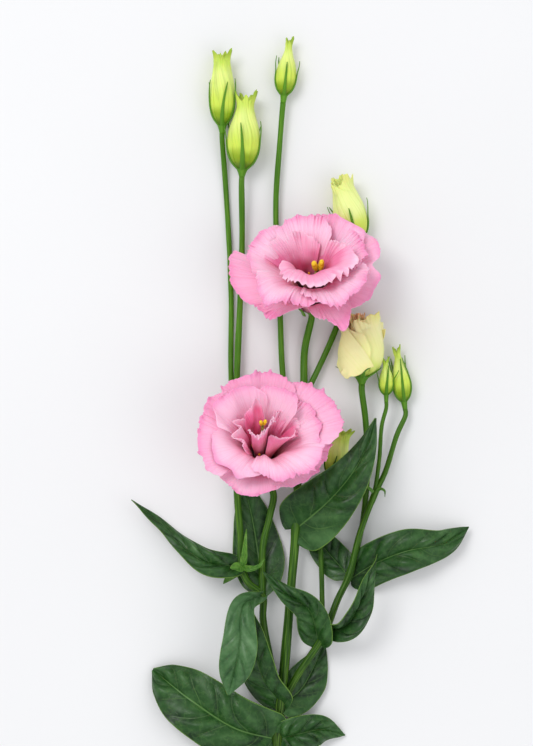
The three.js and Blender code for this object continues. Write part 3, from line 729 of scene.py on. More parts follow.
def build_petals(place, flower):
    """The three whorls of petals of one flower."""
    matrix = flower_matrix(flower["tilt"], flower["sway"])
    for number, whorl in enumerate(WHORLS):
        rng = np.random.default_rng([SEED, len(place), number])
        shared_waves = waves(rng, 5, 4, 9)
        for i, facts in enumerate(flower[whorl]):
            points, uvs = petal_points(facts, BASE_RADIUS[whorl], shared_waves, rng)
            pile = Pile()
            sheet(pile, points, PETAL_THICKNESS * mix(1, 0.6, uvs[..., 1]), uvs)
            placed = pile.placed(matrix, np.array(flower["base"]))
            node = f"{place}_{whorl}_petal_{i + 1}"
            # deep petals take the stronger pink that carries painted shade
            material = MATERIALS["deep" if facts["deep"] else whorl]
            make_piece(f"{node}_looks", placed, material, [node])


# ---------------------------------------------------------------- the middle of a flower

PISTIL_OUTLINE = through([(0, 1.9), (3, 2.2), (9, 2), (12, 1), (20, 0.8), (40, 0.9)])
STIGMA_LENGTH = 4.2
STAMEN_CIRCLE = 2.35
STAMEN_HEIGHT = 18.0
STAMEN_ANGLES = (30, 102, 174, 246, 318)
ANTHER_LENGTH = 4.6
ANTHER_RADIUS = 0.85


def build_flower_centre(place, flower):
    """Ovary and style, the two-lobed stigma and five stamens with their anthers."""
    rng = np.random.default_rng([SEED, 50, len(place)])
    pistil = flower["pistil"]
    size, spread = pistil["lobe"], pistil["spread"]
    top = pistil["height"] - STIGMA_LENGTH
    height = np.linspace(0, top, 40)
    centres = np.concatenate([pistil["bend"] * (height[:, None] / top) ** 2, height[:, None]], axis=1)
    green, stigma, anthers = Pile(), Pile(), Pile()
    tube(green, centres, PISTIL_OUTLINE(height), sides=20)
    t = np.linspace(0, 1, 16)
    for side in (-1, 1):
        path = np.stack([side * (0.9 + 0.9 * t), 0.5 * side * t, -1.2 + 5.4 * t], axis=1)
        thick = 1.5 * np.sqrt(np.clip(1 - (2 * t - 1) ** 4, 0.02, 1)) * (1 + 0.07 * waves(rng, 4, 2, 6)(t))
        tube(stigma, centres[-1] + size * path, size * thick, sides=16, flatten=0.8)
    for angle in STAMEN_ANGLES:
        direction = np.array([np.cos(np.radians(angle)), np.sin(np.radians(angle))])
        t = np.linspace(0, 1, 24)
        out = STAMEN_CIRCLE + spread * t**2
        filament = np.concatenate([direction * out[:, None], STAMEN_HEIGHT * t[:, None]], axis=1)
        tube(green, filament, mix(0.5, 0.3, t), sides=10)
        t = np.linspace(0, 1, 14)
        tip = filament[-1] + rng.normal(0, 0.25, 3)
        tilt = unit(np.array([*direction * 0.175 * spread, 1.0]))
        rounded = np.sqrt(np.clip(1 - (2 * t - 1) ** 4, 0.03, 1))
        tube(anthers, tip + (t[:, None] - 0.35) * ANTHER_LENGTH * tilt, ANTHER_RADIUS * rounded, 12, 0.75)
    matrix = flower_matrix(flower["tilt"], flower["sway"])
    for name, ending, pile in (("pistil", "", green), ("stigma", "", stigma), ("anther", "s", anthers)):
        placed = pile.placed(matrix, np.array(flower["base"]))
        node = f"{place}_pistil_and_stamens"
        make_piece(f"{place}_{name}{ending}_looks", placed, MATERIALS[name], [node])


# ---------------------------------------------------------------- buds

# Shapes of buds: share of the length, share of the widest radius
BUD_OUTLINES = {
    "pointed": through([(0, 0.3), (0.1, 0.76), (0.28, 1), (0.5, 0.84), (0.7, 0.46), (0.86, 0.25), (1, 0.2)]),
    "full": through([(0, 0.3), (0.1, 0.74), (0.28, 1), (0.5, 0.92), (0.68, 0.66), (0.8, 0.52), (1, 0.56)]),
    "blunt": through(
        [(0, 0.3), (0.12, 0.75), (0.32, 1), (0.52, 0.93), (0.72, 0.72), (0.88, 0.6), (1, 0.66)]
    ),
    "opening": through(
        [(0, 0.3), (0.12, 0.8), (0.28, 1), (0.5, 0.96), (0.75, 0.72), (0.9, 0.62), (1, 0.66)]
    ),
    "rose": through([(0, 0.3), (0.1, 0.76), (0.3, 1), (0.6, 0.98), (0.8, 0.86), (1, 0.72)]),
}
# Each bud: the ends of its petals, its widest radius, its shape and how far its sepals reach along it
BUDS = {
    "left_tall": ((-12.6, 106.2, 9.6), (-10.6, 146.6, 11.2), 8.8, "full", 0.56),
    "left_far": ((-23.1, 129, 8), (-23.1, 168.3, 8.6), 7.0, "blunt", 0.6),
    "top": ((9.1, 145, 6.6), (12.2, 174.6, 7.6), 5.6, "pointed", 0.62),
    "right_tall": ((46.9, 68.9, 6.6), (38.1, 103.1, 12.6), 8.6, "opening", 0.55),
    "cream": ((49.5, -1.6, 11.6), (49.9, 32.6, 12.6), 11.4, "rose", 0.12),
    "right_small": ((62.2, -10.9, 10), (62, 8, 10.4), 3.8, "pointed", 0.72),
    "right_low": ((71.6, -14.5, 5.8), (67.6, 14.2, 6.8), 5, "pointed", 0.74),
    "twisted": ((33.4, -52.8, 10), (41, -28.5, 16.5), 5.6, "blunt", 0.45),
}
BUD_TWIST = -58  # how far a petal winds round its bud
BUD_PETAL_THICKNESS = 0.3
BUD_MATERIALS = {"cream": "open_bud", "right_tall": "pale_bud"}
# Each petal of a bud: the angle of its middle, its height as a share of the bud's length, and how far out
# it lies as a share of the bud's radius there
CLOSED_PETALS = (
    (0, 0.84, 0.95), (72, 0.88, 0.95), (144, 0.82, 0.95), (216, 0.9, 0.95), (288, 0.85, 0.95),
    (40, 0.8, 0.62), (190, 0.83, 0.56),
)
OPENING_PETALS = (
    (20, 0.86, 0.97), (100, 0.78, 0.98), (172, 0.88, 0.96), (245, 0.84, 0.95), (310, 0.82, 0.95),
    (60, 0.84, 0.68), (180, 0.8, 0.62), (300, 0.86, 0.55), (0, 0.8, 0.3), (180, 0.82, 0.25),
)
ROSE_PETALS = ((60, 0.7, 1.0), (172, 0.87, 0.96), (285, 0.75, 0.95), (122, 0.74, 0.84), (15, 0.9, 0.84))
BUD_PETALS = {"cream": ROSE_PETALS, "right_tall": OPENING_PETALS}
LOOSE = {"rose": 2.2, "opening": 1.3}  # how far the petals of a bud stand apart, by its shape


def bud_frame(base, tip):
    """Z towards the tip of a bud and Y as near to straight up as it can be, as the columns of a matrix."""
    z = unit(np.subtract(tip, base))
    x = unit(np.cross(UP, z))
    return np.stack([x, np.cross(z, x), z], axis=1)


def bud_length(name):
    base, tip = BUDS[name][:2]
    return np.linalg.norm(np.subtract(tip, base))


def around_axis(radius, turned, height):
    """Points at a radius, an angle in radians and a height round the axis of a bud."""
    return np.stack([radius * np.cos(turned), radius * np.sin(turned), height], axis=-1)


def make_on_bud(piece_name, pile, material, name):
    """A piece that was built round the axis of a bud and stands for that bud."""
    base, tip = BUDS[name][:2]
    placed = pile.placed(bud_frame(base, tip), np.array(base))
    make_piece(piece_name, placed, MATERIALS[material], [f"bud_{name}"])


def rolled_petal(pile, rng, name, angle, tall, out):
    """A petal of a bud, wound round it, with a free pointed corner at its rim."""
    widest, outline = BUDS[name][2:4]
    loose = LOOSE.get(outline, 1.0)
    a = np.linspace(-1, 1, 61)[None, :]
    t = np.linspace(0, 1, 64)[:, None]
    ragged = waves(rng, 4, 0.6, 2.2)(a)
    fine = waves(rng, 4, 2.5, 7)(a)
    corner = rng.uniform(-0.3, 0.3)
    rim = tall + 0.11 * bell(a, corner, 0.42) - 0.06 * np.abs(a) ** 3 + 0.014 * ragged + 0.006 * fine
    share = t * rim
    half = mix(50, 70, smooth(share, 0.1, 0.5))
    turned = np.radians(angle + half * a + BUD_TWIST * smooth(share, 0, 1.1))
    tile = loose * widest * mix(0.02, 0.04, smooth(share, 0.1, 0.6))
    swell = 1 + 0.02 * waves(rng, 3, 0.6, 1.6)(a) * smooth(share, 0.1, 0.5)
    hollow = -0.06 * smooth(a, 0.1, 0.9) * smooth(share, 0.4, 0.8)
    radius = out * widest * BUD_OUTLINES[outline](share) * (swell + hollow) + tile * (a - 0.3)
    free = bell(a, corner, 0.45) * smooth(share, tall - 0.12, tall + 0.15)
    if outline == "rose":
        free = free + 1.2 * smooth(np.abs(a), 0.6, 1) * smooth(share, 0.35, 0.8) * (0.6 + 0.6 * ragged)
    radius = radius + loose * 1.1 * free + 0.25 * fine * smooth(share, tall - 0.1, tall + 0.1)
    points = around_axis(radius, turned, bud_length(name) * share)
    sheet(pile, points, BUD_PETAL_THICKNESS, own_place(a, share, rng.integers(1, 40)))


def build_bud(name):
    """Petals rolled round one another."""
    rng = np.random.default_rng([SEED, 90, sum(map(ord, name))])
    pile = Pile()
    for angle, tall, out in BUD_PETALS.get(name, CLOSED_PETALS):
        rolled_petal(pile, rng, name, angle, tall, out)
    make_on_bud(f"bud_{name}_looks", pile, BUD_MATERIALS.get(name, "bud"), name)


# Corners of the cream bud's turned petal: share of the bud's length, angle round it, mm out from its surface
TURNED_TOP = (0.78, 32, 0.6)
TURNED_RIGHT = (0.16, 118, 1.2)
TURNED_LEFT = (0.2, 6, 1.6)
TURNED_BOTTOM = (-0.04, 54, 1.0)


def build_turned_petal():
    """The outermost petal of the cream bud, whose rim is turned down over the front of the bud.

    u runs from its upper edge to its lower one, and w from its right side to its left.
    """
    rng = np.random.default_rng([SEED, 96])
    widest, outline = BUDS["cream"][2:4]
    u = np.linspace(0, 1, 56)[:, None]
    w = np.linspace(0, 1, 56)[None, :]
    upper = mix(np.array(TURNED_TOP), np.array(TURNED_LEFT), w[..., None])
    lower = mix(np.array(TURNED_RIGHT), np.array(TURNED_BOTTOM), w[..., None])
    share, angle, out = np.moveaxis(mix(upper, lower, u[..., None]), -1, 0)
    belly = np.sin(np.pi * u) * np.sin(np.pi * w)
    left_edge = smooth(w, 0.75, 1) * waves(rng, 4, 1, 4)(u)
    low_edge = smooth(u, 0.75, 1) * waves(rng, 4, 1, 4)(w)
    share = share + 0.12 * np.sin(np.pi * u) * (0.6 - w) + 0.016 * (left_edge + low_edge)
    out = out + 0.7 * belly + 0.5 * left_edge + 0.4 * low_edge
    radius = widest * BUD_OUTLINES[outline](np.clip(share, 0.28, 1)) + out
    points = around_axis(radius, np.radians(angle), bud_length("cream") * share)
    pile = Pile()
    sheet(pile, points, BUD_PETAL_THICKNESS, np.stack([w + 0 * u, 0.4 + 0.5 * u + 0 * w], axis=-1))
    make_on_bud("bud_cream_turned_petal_looks", pile, "open_bud", "cream")


CRUMPLES = 7


def build_crumpled_tip():
    """The browned and crumpled rims of the young petals in the mouth of the cream bud."""
    rng = np.random.default_rng([SEED, 95])
    widest = BUDS["cream"][2]
    length = bud_length("cream")
    pile = Pile()
    a = np.linspace(-1, 1, 33)[None, :]
    t = np.linspace(0, 1, 24)[:, None]
    for k in range(CRUMPLES):
        wide = widest * rng.uniform(0.13, 0.24)
        side = widest * mix(0.42, -0.06, k / (CRUMPLES - 1)) + rng.uniform(-0.6, 0.6)
        depth = widest * rng.uniform(-0.1, 0.42)
        tall = length * rng.uniform(0.8, 0.95)
        crease = waves(rng, 4, 0.5, 1.4)(a)
        rim = 1 + 0.03 * waves(rng, 4, 1, 4)(a)
        height = mix(0.55 * length, tall * rim, t)
        across = side + wide * a * mix(0.7, 1, t) + 0.5 * crease * t**2
        buckle = np.sin(2 * np.pi * (1.7 * t + 0.25 * crease + 0.3 * k)) * t**2
        out = depth + 1.1 * crease * t**2 + 1.2 * t**3 + 0.7 * buckle
        points = np.stack([across, out, height], axis=-1)
        sheet(pile, points, BUD_PETAL_THICKNESS, own_place(a, np.broadcast_to(t, height.shape), k))
    make_on_bud("bud_cream_tip_looks", pile, "crumpled", "cream")


# ---------------------------------------------------------------- calyx

GAP = 0.3  # between a stalk and the cup that it carries
FLOWER_CUP = (5.8, 6.5)  # radius at its rim, and depth
BUD_CUP = (0.36, 4.2)  # radius at its rim as a share of the bud's widest radius, and depth
SEPAL_ANGLES = (90, 162, 234, 306, 18)
SEPAL_GRID = (26, 7)
SEPAL_LINE = 50  # the length of the line that a flower's sepals follow
FLOWER_SEPAL_REACH = 0.54
FLOWER_SEPAL_WIDTH = 2.0


def add_cup(pile, stalk_radius, top_radius, depth):
    """The green cup under a flower or bud, which widens smoothly from its stalk."""
    profile = through([(0, stalk_radius), (0.5, mix(stalk_radius, top_radius, 0.4)), (1, top_radius)])
    share = np.linspace(0, 1, 16)
    tube(pile, np.stack([share * 0, share * 0, -depth * (1 - share)], axis=1), profile(share), sides=40)


def add_sepal(pile, line, angle, width, drift):
    """A narrow keeled sepal along line(share), which gives its radius and height round the axis."""
    rows, columns = SEPAL_GRID
    t = np.linspace(0, 1, rows)[:, None]
    b = np.linspace(-1, 1, columns)[None, :]
    radius, height = line(t)
    turned = np.radians(angle + drift * t**2)
    radial = np.stack([np.cos(turned), np.sin(turned), turned * 0], axis=-1)
    tangent = np.stack([-np.sin(turned), np.cos(turned), turned * 0], axis=-1)
    half = width / 2 * mix(1, 0.55, smooth(t, 0.1, 0.6)) * (1 - t**3) ** 0.8 + 0.14
    points = radial * radius[..., None] + UP * height[..., None] + tangent * (half * b)[..., None]
    points = points - radial * (0.35 * half * b**2)[..., None]
    uvs = np.stack([b + t * 0, 12 * t + b * 0], axis=-1)
    sheet(pile, points, 0.6 * mix(1, 0.5, t), uvs)


def flower_sepals(pile, flower, rng):
    """Sepals that follow the underside of an open flower."""
    lean_at = lean_curve(flower["sepal_leans"])
    for angle in SEPAL_ANGLES:
        reach = FLOWER_SEPAL_REACH * rng.uniform(0.9, 1.05)

        def line(t, reach=reach):
            radius, height, lean = follow(lean_at, BASE_RADIUS["outer"], SEPAL_LINE, reach * t)
            away = mix(1.2, 5, smooth(t, 0, 1))
            return radius + away * np.cos(lean), height - away * np.sin(lean) - 2 * (1 - t) ** 3

        add_sepal(pile, line, angle, FLOWER_SEPAL_WIDTH, rng.uniform(-8, 8))


def bud_sepals(pile, name, rng):
    """Sepals that hug a bud and have free tips."""
    widest, outline, reach = BUDS[name][2:]
    length = bud_length(name)
    for angle in SEPAL_ANGLES:
        own_reach = reach * rng.uniform(0.9, 1.2)
        spread = rng.uniform(0.8, 5.2)

        def line(t, own_reach=own_reach, spread=spread):
            along = t * own_reach
            radius = widest * BUD_OUTLINES[outline](along) + 0.3 + spread * smooth(t, 0.5, 1.1)
            return radius - 0.9 * (1 - t) ** 8, length * along - 1.0 * (1 - t) ** 4

        add_sepal(pile, line, angle, max(1.3, widest * 0.24), rng.uniform(-34, 34))


# ---------------------------------------------------------------- stalks

# Where stalks branch or carry leaves. Routes of stalks and midribs of leaves name them.
JOINTS = {
    "low": (5.4, -191, 5),
    "first": (7.5, -172, 8),
    "middle": (15.3, -81.3, 9),
    "behind": (16.8, -42.5, 7),
    "top": (19.4, -13, 6),
    "right": (29.3, -136.8, 12),
    "right_upper": (42.7, -105.7, 10),
    "right_fork": (56.2, -63.2, 8),
    "left": (-2.3, -115.5, 10),
    "bract": (-13.2, -100.5, 9),
    "left_upper": (-15.8, -34.7, 7),
}
CUT_END = (4.9, -208.8, 3.2)
# Each stalk: its route as far as its cup, its radius at both ends, and the flower or bud that it carries
STALKS = {
    "stem": (
        [
            CUT_END, "low", "first", (10.1, -143.5, 10), (12.7, -112.4, 10), "middle", "behind", "top",
            (19.9, 11.9, 4),
        ],
        (2.5, 1.6), "flower", "top",
    ),
    "left_branch": (
        [
            "first", (1.8, -148.7, 8), (-1.8, -127.9, 9), "left", (-9.6, -108.8, 10), "bract",
            (-13.7, -85, 8), (-15.3, -62.7, 7.5), "left_upper", (-15.3, 0.5, 6.5), (-13.7, 37.8, 6),
            (-12.7, 68.9, 6),
        ],
        (1.8, 1.35), "bud", "left_tall",
    ),
    "right_branch": (
        [
            "first", (17.4, -154.9, 11), "right", (37, -117.6, 11), "right_upper", (48.4, -83.9, 9),
            "right_fork", (61.6, -52, 7.6), (68, -32, 6.6),
        ],
        (1.95, 1.15), "bud", "right_low",
    ),
    "front_flower_stalk": (
        ["left", (-1.8, -89.6, 8), (1.8, -74.1, 7), (3.4, -62, 6)],
        (1.6, 1.65), "flower", "front",
    ),
    "left_far_stalk": (
        ["left_upper", (-18.4, -3.6, 4.5), (-18.4, 37.8, 3.5), (-19.4, 65.3, 3), (-21.5, 100, 3)],
        (1.3, 1.25), "bud", "left_far",
    ),
    "top_stalk": (
        ["behind", (9.1, -6.2, 5), (7, 32.6, 3.6), (5.4, 63.7, 3.6), (4.9, 89.6, 4.6), (7, 120.7, 5.6)],
        (1.4, 1.3), "bud", "top",
    ),
    "right_tall_stalk": (
        ["top", (26.7, 1.6, 5), (36.5, 23.8, 4), (43.3, 45.6, 4)],
        (1.4, 1.4), "bud", "right_tall",
    ),
    "cream_stalk": (
        ["right_upper", (49.5, -81.3, 5.4), (52.5, -50.2, 6), (51.5, -24.3, 8)],
        (1.3, 1.5), "bud", "cream",
    ),
    "right_small_stalk": (
        ["right_fork", (58.6, -45.1, 9), (60, -26.9, 9.4)],
        (1, 0.95), "bud", "right_small",
    ),
    "twisted_stalk": (
        ["right", (28.7, -107.2, 9), (28.2, -76.1, 7)],
        (1.2, 1.2), "bud", "twisted",
    ),
}
STALK_STEP = 1.6
STALK_FULLNESS = 1.1  # how much thicker a stalk is than its radii say
NODE_SWELLING = (0.16, 4.0)  # share of the radius, and half its length
STALK_END = (-2.5, 0.4)  # where its last two points lie on its cup's axis, from the cup's foot


def places(route):
    """The points of a route, with each joint in place of its name."""
    return [np.array(JOINTS[p] if isinstance(p, str) else p, float) for p in route]


def build_stalk(name, route, radii, kind, which):
    """A stalk with a swelling at each joint, its cup and its sepals."""
    rng = np.random.default_rng([SEED, 70, sum(map(ord, name))])
    if kind == "flower":
        flower = FLOWERS[which]
        base = np.array(flower["base"])
        matrix = flower_matrix(flower["tilt"], flower["sway"])
        cup_radius, cup_depth = FLOWER_CUP
    else:
        base, tip, widest = BUDS[which][:3]
        base = np.array(base)
        matrix = bud_frame(base, tip)
        cup_radius, cup_depth = widest * BUD_CUP[0], BUD_CUP[1]
    foot = -GAP - cup_depth
    route = places(route) + [matrix @ [0, 0, foot + height] + base for height in STALK_END]
    length = sum(np.linalg.norm(b - a) for a, b in zip(route, route[1:]))
    centres = along_route(route, int(length / STALK_STEP))
    t = np.linspace(0, 1, len(centres))
    radius = STALK_FULLNESS * mix(*radii, t) * (1 + 0.02 * waves(rng, 4, 2, 9)(t))
    swell, reach = NODE_SWELLING
    for joint in JOINTS.values():
        away = np.linalg.norm(centres - np.array(joint), axis=1)
        radius = radius * (1 + swell * np.exp(-((away / reach) ** 2)))
    stalk_pile = Pile()
    tube(stalk_pile, centres, radius, sides=20)
    calyx = Pile()
    add_cup(calyx, STALK_FULLNESS * radii[1], cup_radius, cup_depth)
    if kind == "flower":
        flower_sepals(calyx, flower, rng)
    else:
        bud_sepals(calyx, which, rng)
    make_piece(f"{name}_looks", stalk_pile, MATERIALS["stalk"], [name])
    make_piece(f"{name}_calyx_looks", calyx.placed(matrix, base), MATERIALS["sepal"], [name])


# ---------------------------------------------------------------- leaves

# Shapes of leaves: share of the length, share of the half width
LEAF_OUTLINES = {
    "plain": through([(0, 0.4), (0.1, 0.76), (0.3, 1), (0.6, 0.8), (0.85, 0.33), (1, 0.02)]),
    "tapering": through(
        [(0, 0.7), (0.1, 0.94), (0.24, 1), (0.5, 0.76), (0.75, 0.42), (0.9, 0.18), (1, 0.02)]
    ),
    "blunt": through([(0, 0.7), (0.12, 0.9), (0.4, 1), (0.7, 0.92), (0.9, 0.56), (1, 0.04)]),
    "even": through([(0, 0.8), (0.1, 0.96), (0.28, 1), (0.6, 0.9), (0.8, 0.6), (0.93, 0.24), (1, 0.02)]),
    "late": through([(0, 0.3), (0.14, 0.36), (0.3, 0.66), (0.5, 0.94), (0.66, 1), (0.85, 0.76), (1, 0.06)]),
    "ribbon": through([(0, 0.6), (0.12, 0.94), (0.28, 1), (0.5, 0.74), (0.7, 0.52), (0.85, 0.3), (1, 0.03)]),
}
LEAF_THICKNESS = 0.5
LEAF_GRID = (90, 61)
FOOT = 0.13  # the share of a leaf over which its foot rounds off
SIDE_VEINS = 6
QUILTING = 2.2  # how high a leaf rises between its side veins
# What a leaf has unless it says otherwise. roll: how far it turns about its midrib, at its foot and tip.
# fold: how far its halves rise from the midrib. arch: how far its margins sink, as a share of the half
# width. lobes: how far the foot's corners reach back, as such a share. lobe_lift: how far they rise.
PLAIN_LEAF = {
    "roll": (0, 0),
    "fold": 12,
    "arch": 0.15,
    "outline": "plain",
    "quilting": 1,
    "lobes": 0.42,
    "lobe_lift": 4,
    "material": "leaf",
    "slot": "leaf",
}
# Leaves that lie flat under others
FLAT = {"arch": 0, "quilting": 0.4}
LEAVES = {
    "leaf_low_left": {
        "midrib": ["low", (-16.3, -184, 15), (-39.6, -169.4, 13), (-59.3, -154.9, 3)],
        "half_width": 17, "roll": (-8, 6), "outline": "blunt",
    },
    "leaf_low_right": {
        "midrib": ["low", (17.4, -187.5, 9), (29, -185.5, 8), (41, -189.1, 2)],
        "half_width": 10, "roll": (10, 0),
    },
    "leaf_first_left": {
        "midrib": ["first", (-2, -158, 14.5), (-6.5, -138.3, 18), (-9.1, -116.5, 16.5)],
        "half_width": 12.5, "roll": (-38, -46),
    },
    "leaf_first_right": {
        "midrib": ["first", (17, -166, 4.5), (25, -153, 2.2), (30.5, -140, 2.2)],
        "half_width": 11, "fold": 5, **FLAT,
    },
    "leaf_curled": {
        "midrib": [(27.2, -139.8, 11.8), (21.6, -121.7, 24), (10.1, -113.4, 28), (-1.8, -102.6, 22)],
        "half_width": 9.5, "roll": (-30, 24), "fold": 20, "outline": "tapering",
    },
    "leaf_folded": {
        "midrib": [(32.2, -133.4, 13), (42, -129.6, 19.5), (49.5, -112.4, 25), (56.7, -93.2, 23)],
        "half_width": 9, "roll": (20, 52), "fold": 34,
    },
    "leaf_long": {
        "midrib": [
            (43.8, -107.3, 4.6), (56.5, -99, 9), (72, -92.4, 14.5), (91.5, -88.6, 11), (105.4, -80.3, 5),
        ],
        "half_width": 11.5, "roll": (0, 14), "fold": 8, "outline": "even", "lobes": 0.2, "lobe_lift": -4,
    },
    "leaf_right_back": {
        "midrib": ["right_upper", (35.5, -97.5, 4.6), (26, -87, 2.2), (16.5, -79, 2.2)],
        "half_width": 9, "fold": 4, "lobes": 0.1, **FLAT,
    },
    "leaf_big": {
        "midrib": ["middle", (33, -65, 23), (44, -51.5, 28.5), (51.5, -37.5, 28), (56.2, -23.3, 25)],
        "half_width": 16, "roll": (-8, -2), "fold": 10, "arch": 0.1, "outline": "tapering",
    },
    "leaf_hanging": {
        "midrib": ["left", (-12.2, -120.2, 26), (-14, -141.4, 31.8), (-19.6, -165.6, 26.4)],
        "half_width": 9.4, "roll": (6, -4), "outline": "late", "quilting": 0.55, "material": "pale_leaf",
    },
    "leaf_back": {
        "midrib": ["left", (-4.4, -94.3, 2.6), (-8.5, -71, 1.4), (-13.7, -51.3, 1.4)],
        "half_width": 13, "fold": 2, "lobes": 0.1, **FLAT,
    },
    "leaf_wavy": {
        "midrib": ["bract", (-31.9, -97.9, 15), (-52.6, -81.3, 9), (-70.2, -65.8, 12)],
        "half_width": 8, "roll": (28, 58), "fold": 16, "outline": "ribbon",
    },
}
# Small leaves at joints, which count as parts of their stalks
BRACT = {"material": "bract", "slot": "stalk", "outline": "ribbon", "lobes": 0, "quilting": 0}
BRACTS = {
    "upright_bract": {
        "midrib": [(-12.4, -101.5, 11), (-11.6, -95, 12.5), (-11, -88, 13), (-10.4, -81, 11.5)],
        "half_width": 1.8, "node": "left_branch", **BRACT,
    },
    "left_bract": {
        "midrib": [(-12.6, -100.5, 11.5), (-15.4, -102, 13), (-19, -105.5, 13), (-22.4, -109.4, 11)],
        "half_width": 3.6, "node": "left_branch", **BRACT,
    },
    "right_bract": {
        "midrib": [(-12.4, -101, 11.5), (-8.8, -101.4, 14), (-4.6, -100.4, 14.6), (-0.8, -96.4, 14)],
        "half_width": 1.7, "node": "left_branch", **BRACT,
    },
    "hooked_bract": {
        "midrib": [(56.6, -62.4, 9), (59, -60.2, 10), (61.2, -61, 10.4), (61.6, -64.4, 9.6)],
        "half_width": 0.9, "node": "right_branch", **BRACT,
    },
    "straight_bract": {
        "midrib": [(55.8, -62.4, 9), (54, -60.4, 10), (51.8, -58.4, 10.2), (50.4, -56.4, 9.6)],
        "half_width": 0.9, "node": "right_branch", **BRACT,
    },
}


def each_half(a, s, rng, low, high):
    """A smooth random function of s for each half of a leaf."""
    return np.where(a < 0, waves(rng, 3, low, high)(s), waves(rng, 3, low, high)(s))


def build_leaf(name, facts):
    """A leaf blade along its midrib, quilted between its veins, with a wavy margin."""
    facts = PLAIN_LEAF | {"node": name} | facts
    rng = np.random.default_rng([SEED, 30, sum(map(ord, name))])
    rows, columns = LEAF_GRID
    s = np.linspace(0, 1, rows)[:, None] ** 1.35
    a = np.linspace(-1, 1, columns)[None, :]
    away = np.abs(a)

    midrib = places(facts["midrib"])
    fine = along_route(midrib, 400)
    run = np.linspace(0, 1, len(fine))
    middle = np.stack([np.interp(s[:, 0], run, fine[:, k]) for k in range(3)], axis=1)
    tangent = unit(np.gradient(middle, axis=0))
    side = turned_about(unit(np.cross(tangent, UP)), tangent, mix(*facts["roll"], s[:, 0]))
    up = np.cross(side, tangent)

    outline = LEAF_OUTLINES[facts["outline"]]
    half = facts["half_width"] * outline(s) * (1 + 0.018 * waves(rng, 3, 1, 3)(s))
    grown = np.clip(s / FOOT, 0, 1)
    half = half * mix(0.38, 1, np.sqrt(1 - (1 - grown) ** 2))
    fold = np.radians(facts["fold"])
    lift = half * (away * np.sin(fold) - facts["arch"] * a * a)
    wave_height = facts["half_width"] * (0.05 if min(p[2] for p in midrib) > 2.5 else 0.02)
    lift = lift + wave_height * each_half(a, s, rng, 1.5, 3.5) * away**2.5 * smooth(s, 0.05, 0.3)

    shift = np.where(a < 0, 0, 0.5) + 0.12 * waves(rng, 3, 1, 3)(s)
    vein_count = SIDE_VEINS * s - 1.3 * away + shift
    pillow = np.sqrt(np.abs(np.sin(np.pi * vein_count)) + 0.01) * np.sin(np.pi * np.clip(away / 0.92, 0, 1))
    uneven = 1 + 0.45 * each_half(a, s, rng, 1, 3)
    quilted = QUILTING * facts["quilting"] * pillow * uneven
    ridge = -0.5 * bell(away, 0, 0.05)
    lift = lift + smooth(s, 0.02, 0.2) * (quilted + ridge) * np.minimum(half / 9, 1)

    points = middle[:, None] + side[:, None] * (a * half * np.cos(fold))[..., None]
    points = points + up[:, None] * lift[..., None]
    rounded = away**1.6 - 0.42 * away**6 * (1 - grown)
    lobes = (facts["lobes"] * (1 - smooth(s, 0, 0.42)) * rounded)[..., None]
    back = unit(tangent * [1, 1, 0.3])[:, None]
    points = points - back * facts["half_width"] * lobes + UP * facts["lobe_lift"] * lobes
    pile = Pile()
    sheet(pile, points, LEAF_THICKNESS * mix(1, 0.6, s), np.stack([a + s * 0, vein_count], axis=-1))
    make_piece(f"{name}_looks", pile, MATERIALS[facts["material"]], [facts["node"]])


# ---------------------------------------------------------------- build

for place, flower in FLOWERS.items():
    build_petals(place, flower)
    build_flower_centre(place, flower)
for name in BUDS:
    build_bud(name)
build_turned_petal()
build_crumpled_tip()
for name, facts in STALKS.items():
    build_stalk(name, *facts)
for name, facts in (LEAVES | BRACTS).items():
    build_leaf(name, facts)


# ---------------------------------------------------------------- floor, light and camera

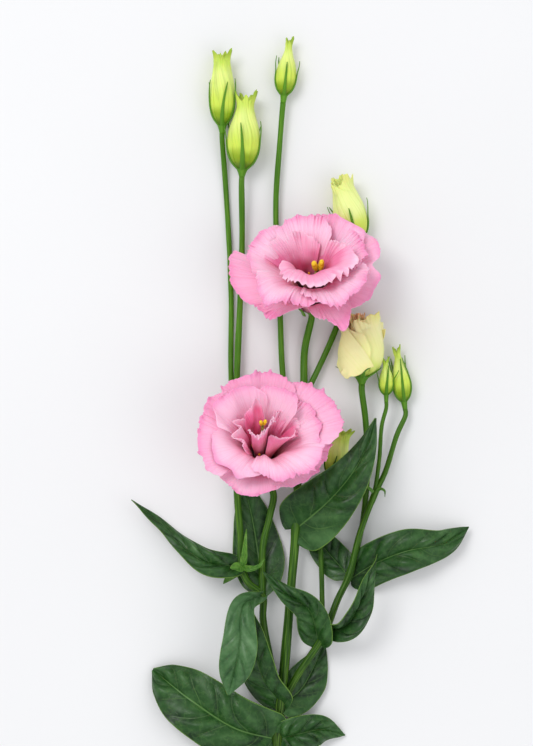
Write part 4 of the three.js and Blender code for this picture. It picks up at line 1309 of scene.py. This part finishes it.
FLOOR_SIZE = 6.0  # metres
FLOOR_POINTS = 25
CAMERA_HEIGHT = 1600.0
FIELD = (193.2, 1585.0)  # half the picture's height, and how far below the camera it is measured


def add_floor():
    """A pale floor under the stem, far wider than the picture."""
    line = np.linspace(-FLOOR_SIZE / 2, FLOOR_SIZE / 2, FLOOR_POINTS)
    x, y = np.meshgrid(line, line)
    points = np.stack([x, y, x * 0], axis=-1).reshape(-1, 3)
    mesh = bpy.data.meshes.new("floor")
    mesh.from_pydata(points.tolist(), [], grid_faces(FLOOR_POINTS, FLOOR_POINTS).tolist())
    shades = Shades("floor_pale")
    grain = shades.noise(3.0)
    mesh.materials.append(shades.finish(shades.ramp(grain, [(0.3, 0.78), (0.7, 0.8)]), 0.85, 0.95))
    floor = bpy.data.objects.new("floor", mesh)
    bpy.context.scene.collection.objects.link(floor)


def add_light(name, place, size, power):
    """A round soft light that looks at the origin. Its place and size are metres, its power is watts."""
    light = bpy.data.lights.new(name, "AREA")
    light.shape = "DISK"
    light.size = size
    light.energy = power
    lamp = bpy.data.objects.new(name, light)
    lamp.location = place
    lamp.rotation_mode = "QUATERNION"
    lamp.rotation_quaternion = (-Vector(place)).to_track_quat("-Z", "Y")
    bpy.context.scene.collection.objects.link(lamp)


add_floor()
add_light("key_light", (-0.9, 0.9, 1.9), 1.1, 20.0)
add_light("fill_light", (1.2, -0.6, 1.6), 1.6, 6.0)

world = bpy.data.worlds.new("pale_room")
world.use_nodes = True
world.node_tree.nodes["Background"].inputs["Color"].default_value = (0.96, 0.97, 1.0, 1.0)
world.node_tree.nodes["Background"].inputs["Strength"].default_value = 0.825
bpy.context.scene.world = world
bpy.context.scene.view_settings.view_transform = "Standard"

camera_data = bpy.data.cameras.new("camera")
camera_data.lens = camera_data.sensor_width / 2 * FIELD[1] / FIELD[0]
camera_data.clip_end = 20.0
camera = bpy.data.objects.new("camera", camera_data)
camera.location = in_frame([0, 0, CAMERA_HEIGHT])
bpy.context.scene.collection.objects.link(camera)
bpy.context.scene.camera = camera

bpy.context.view_layer.update()
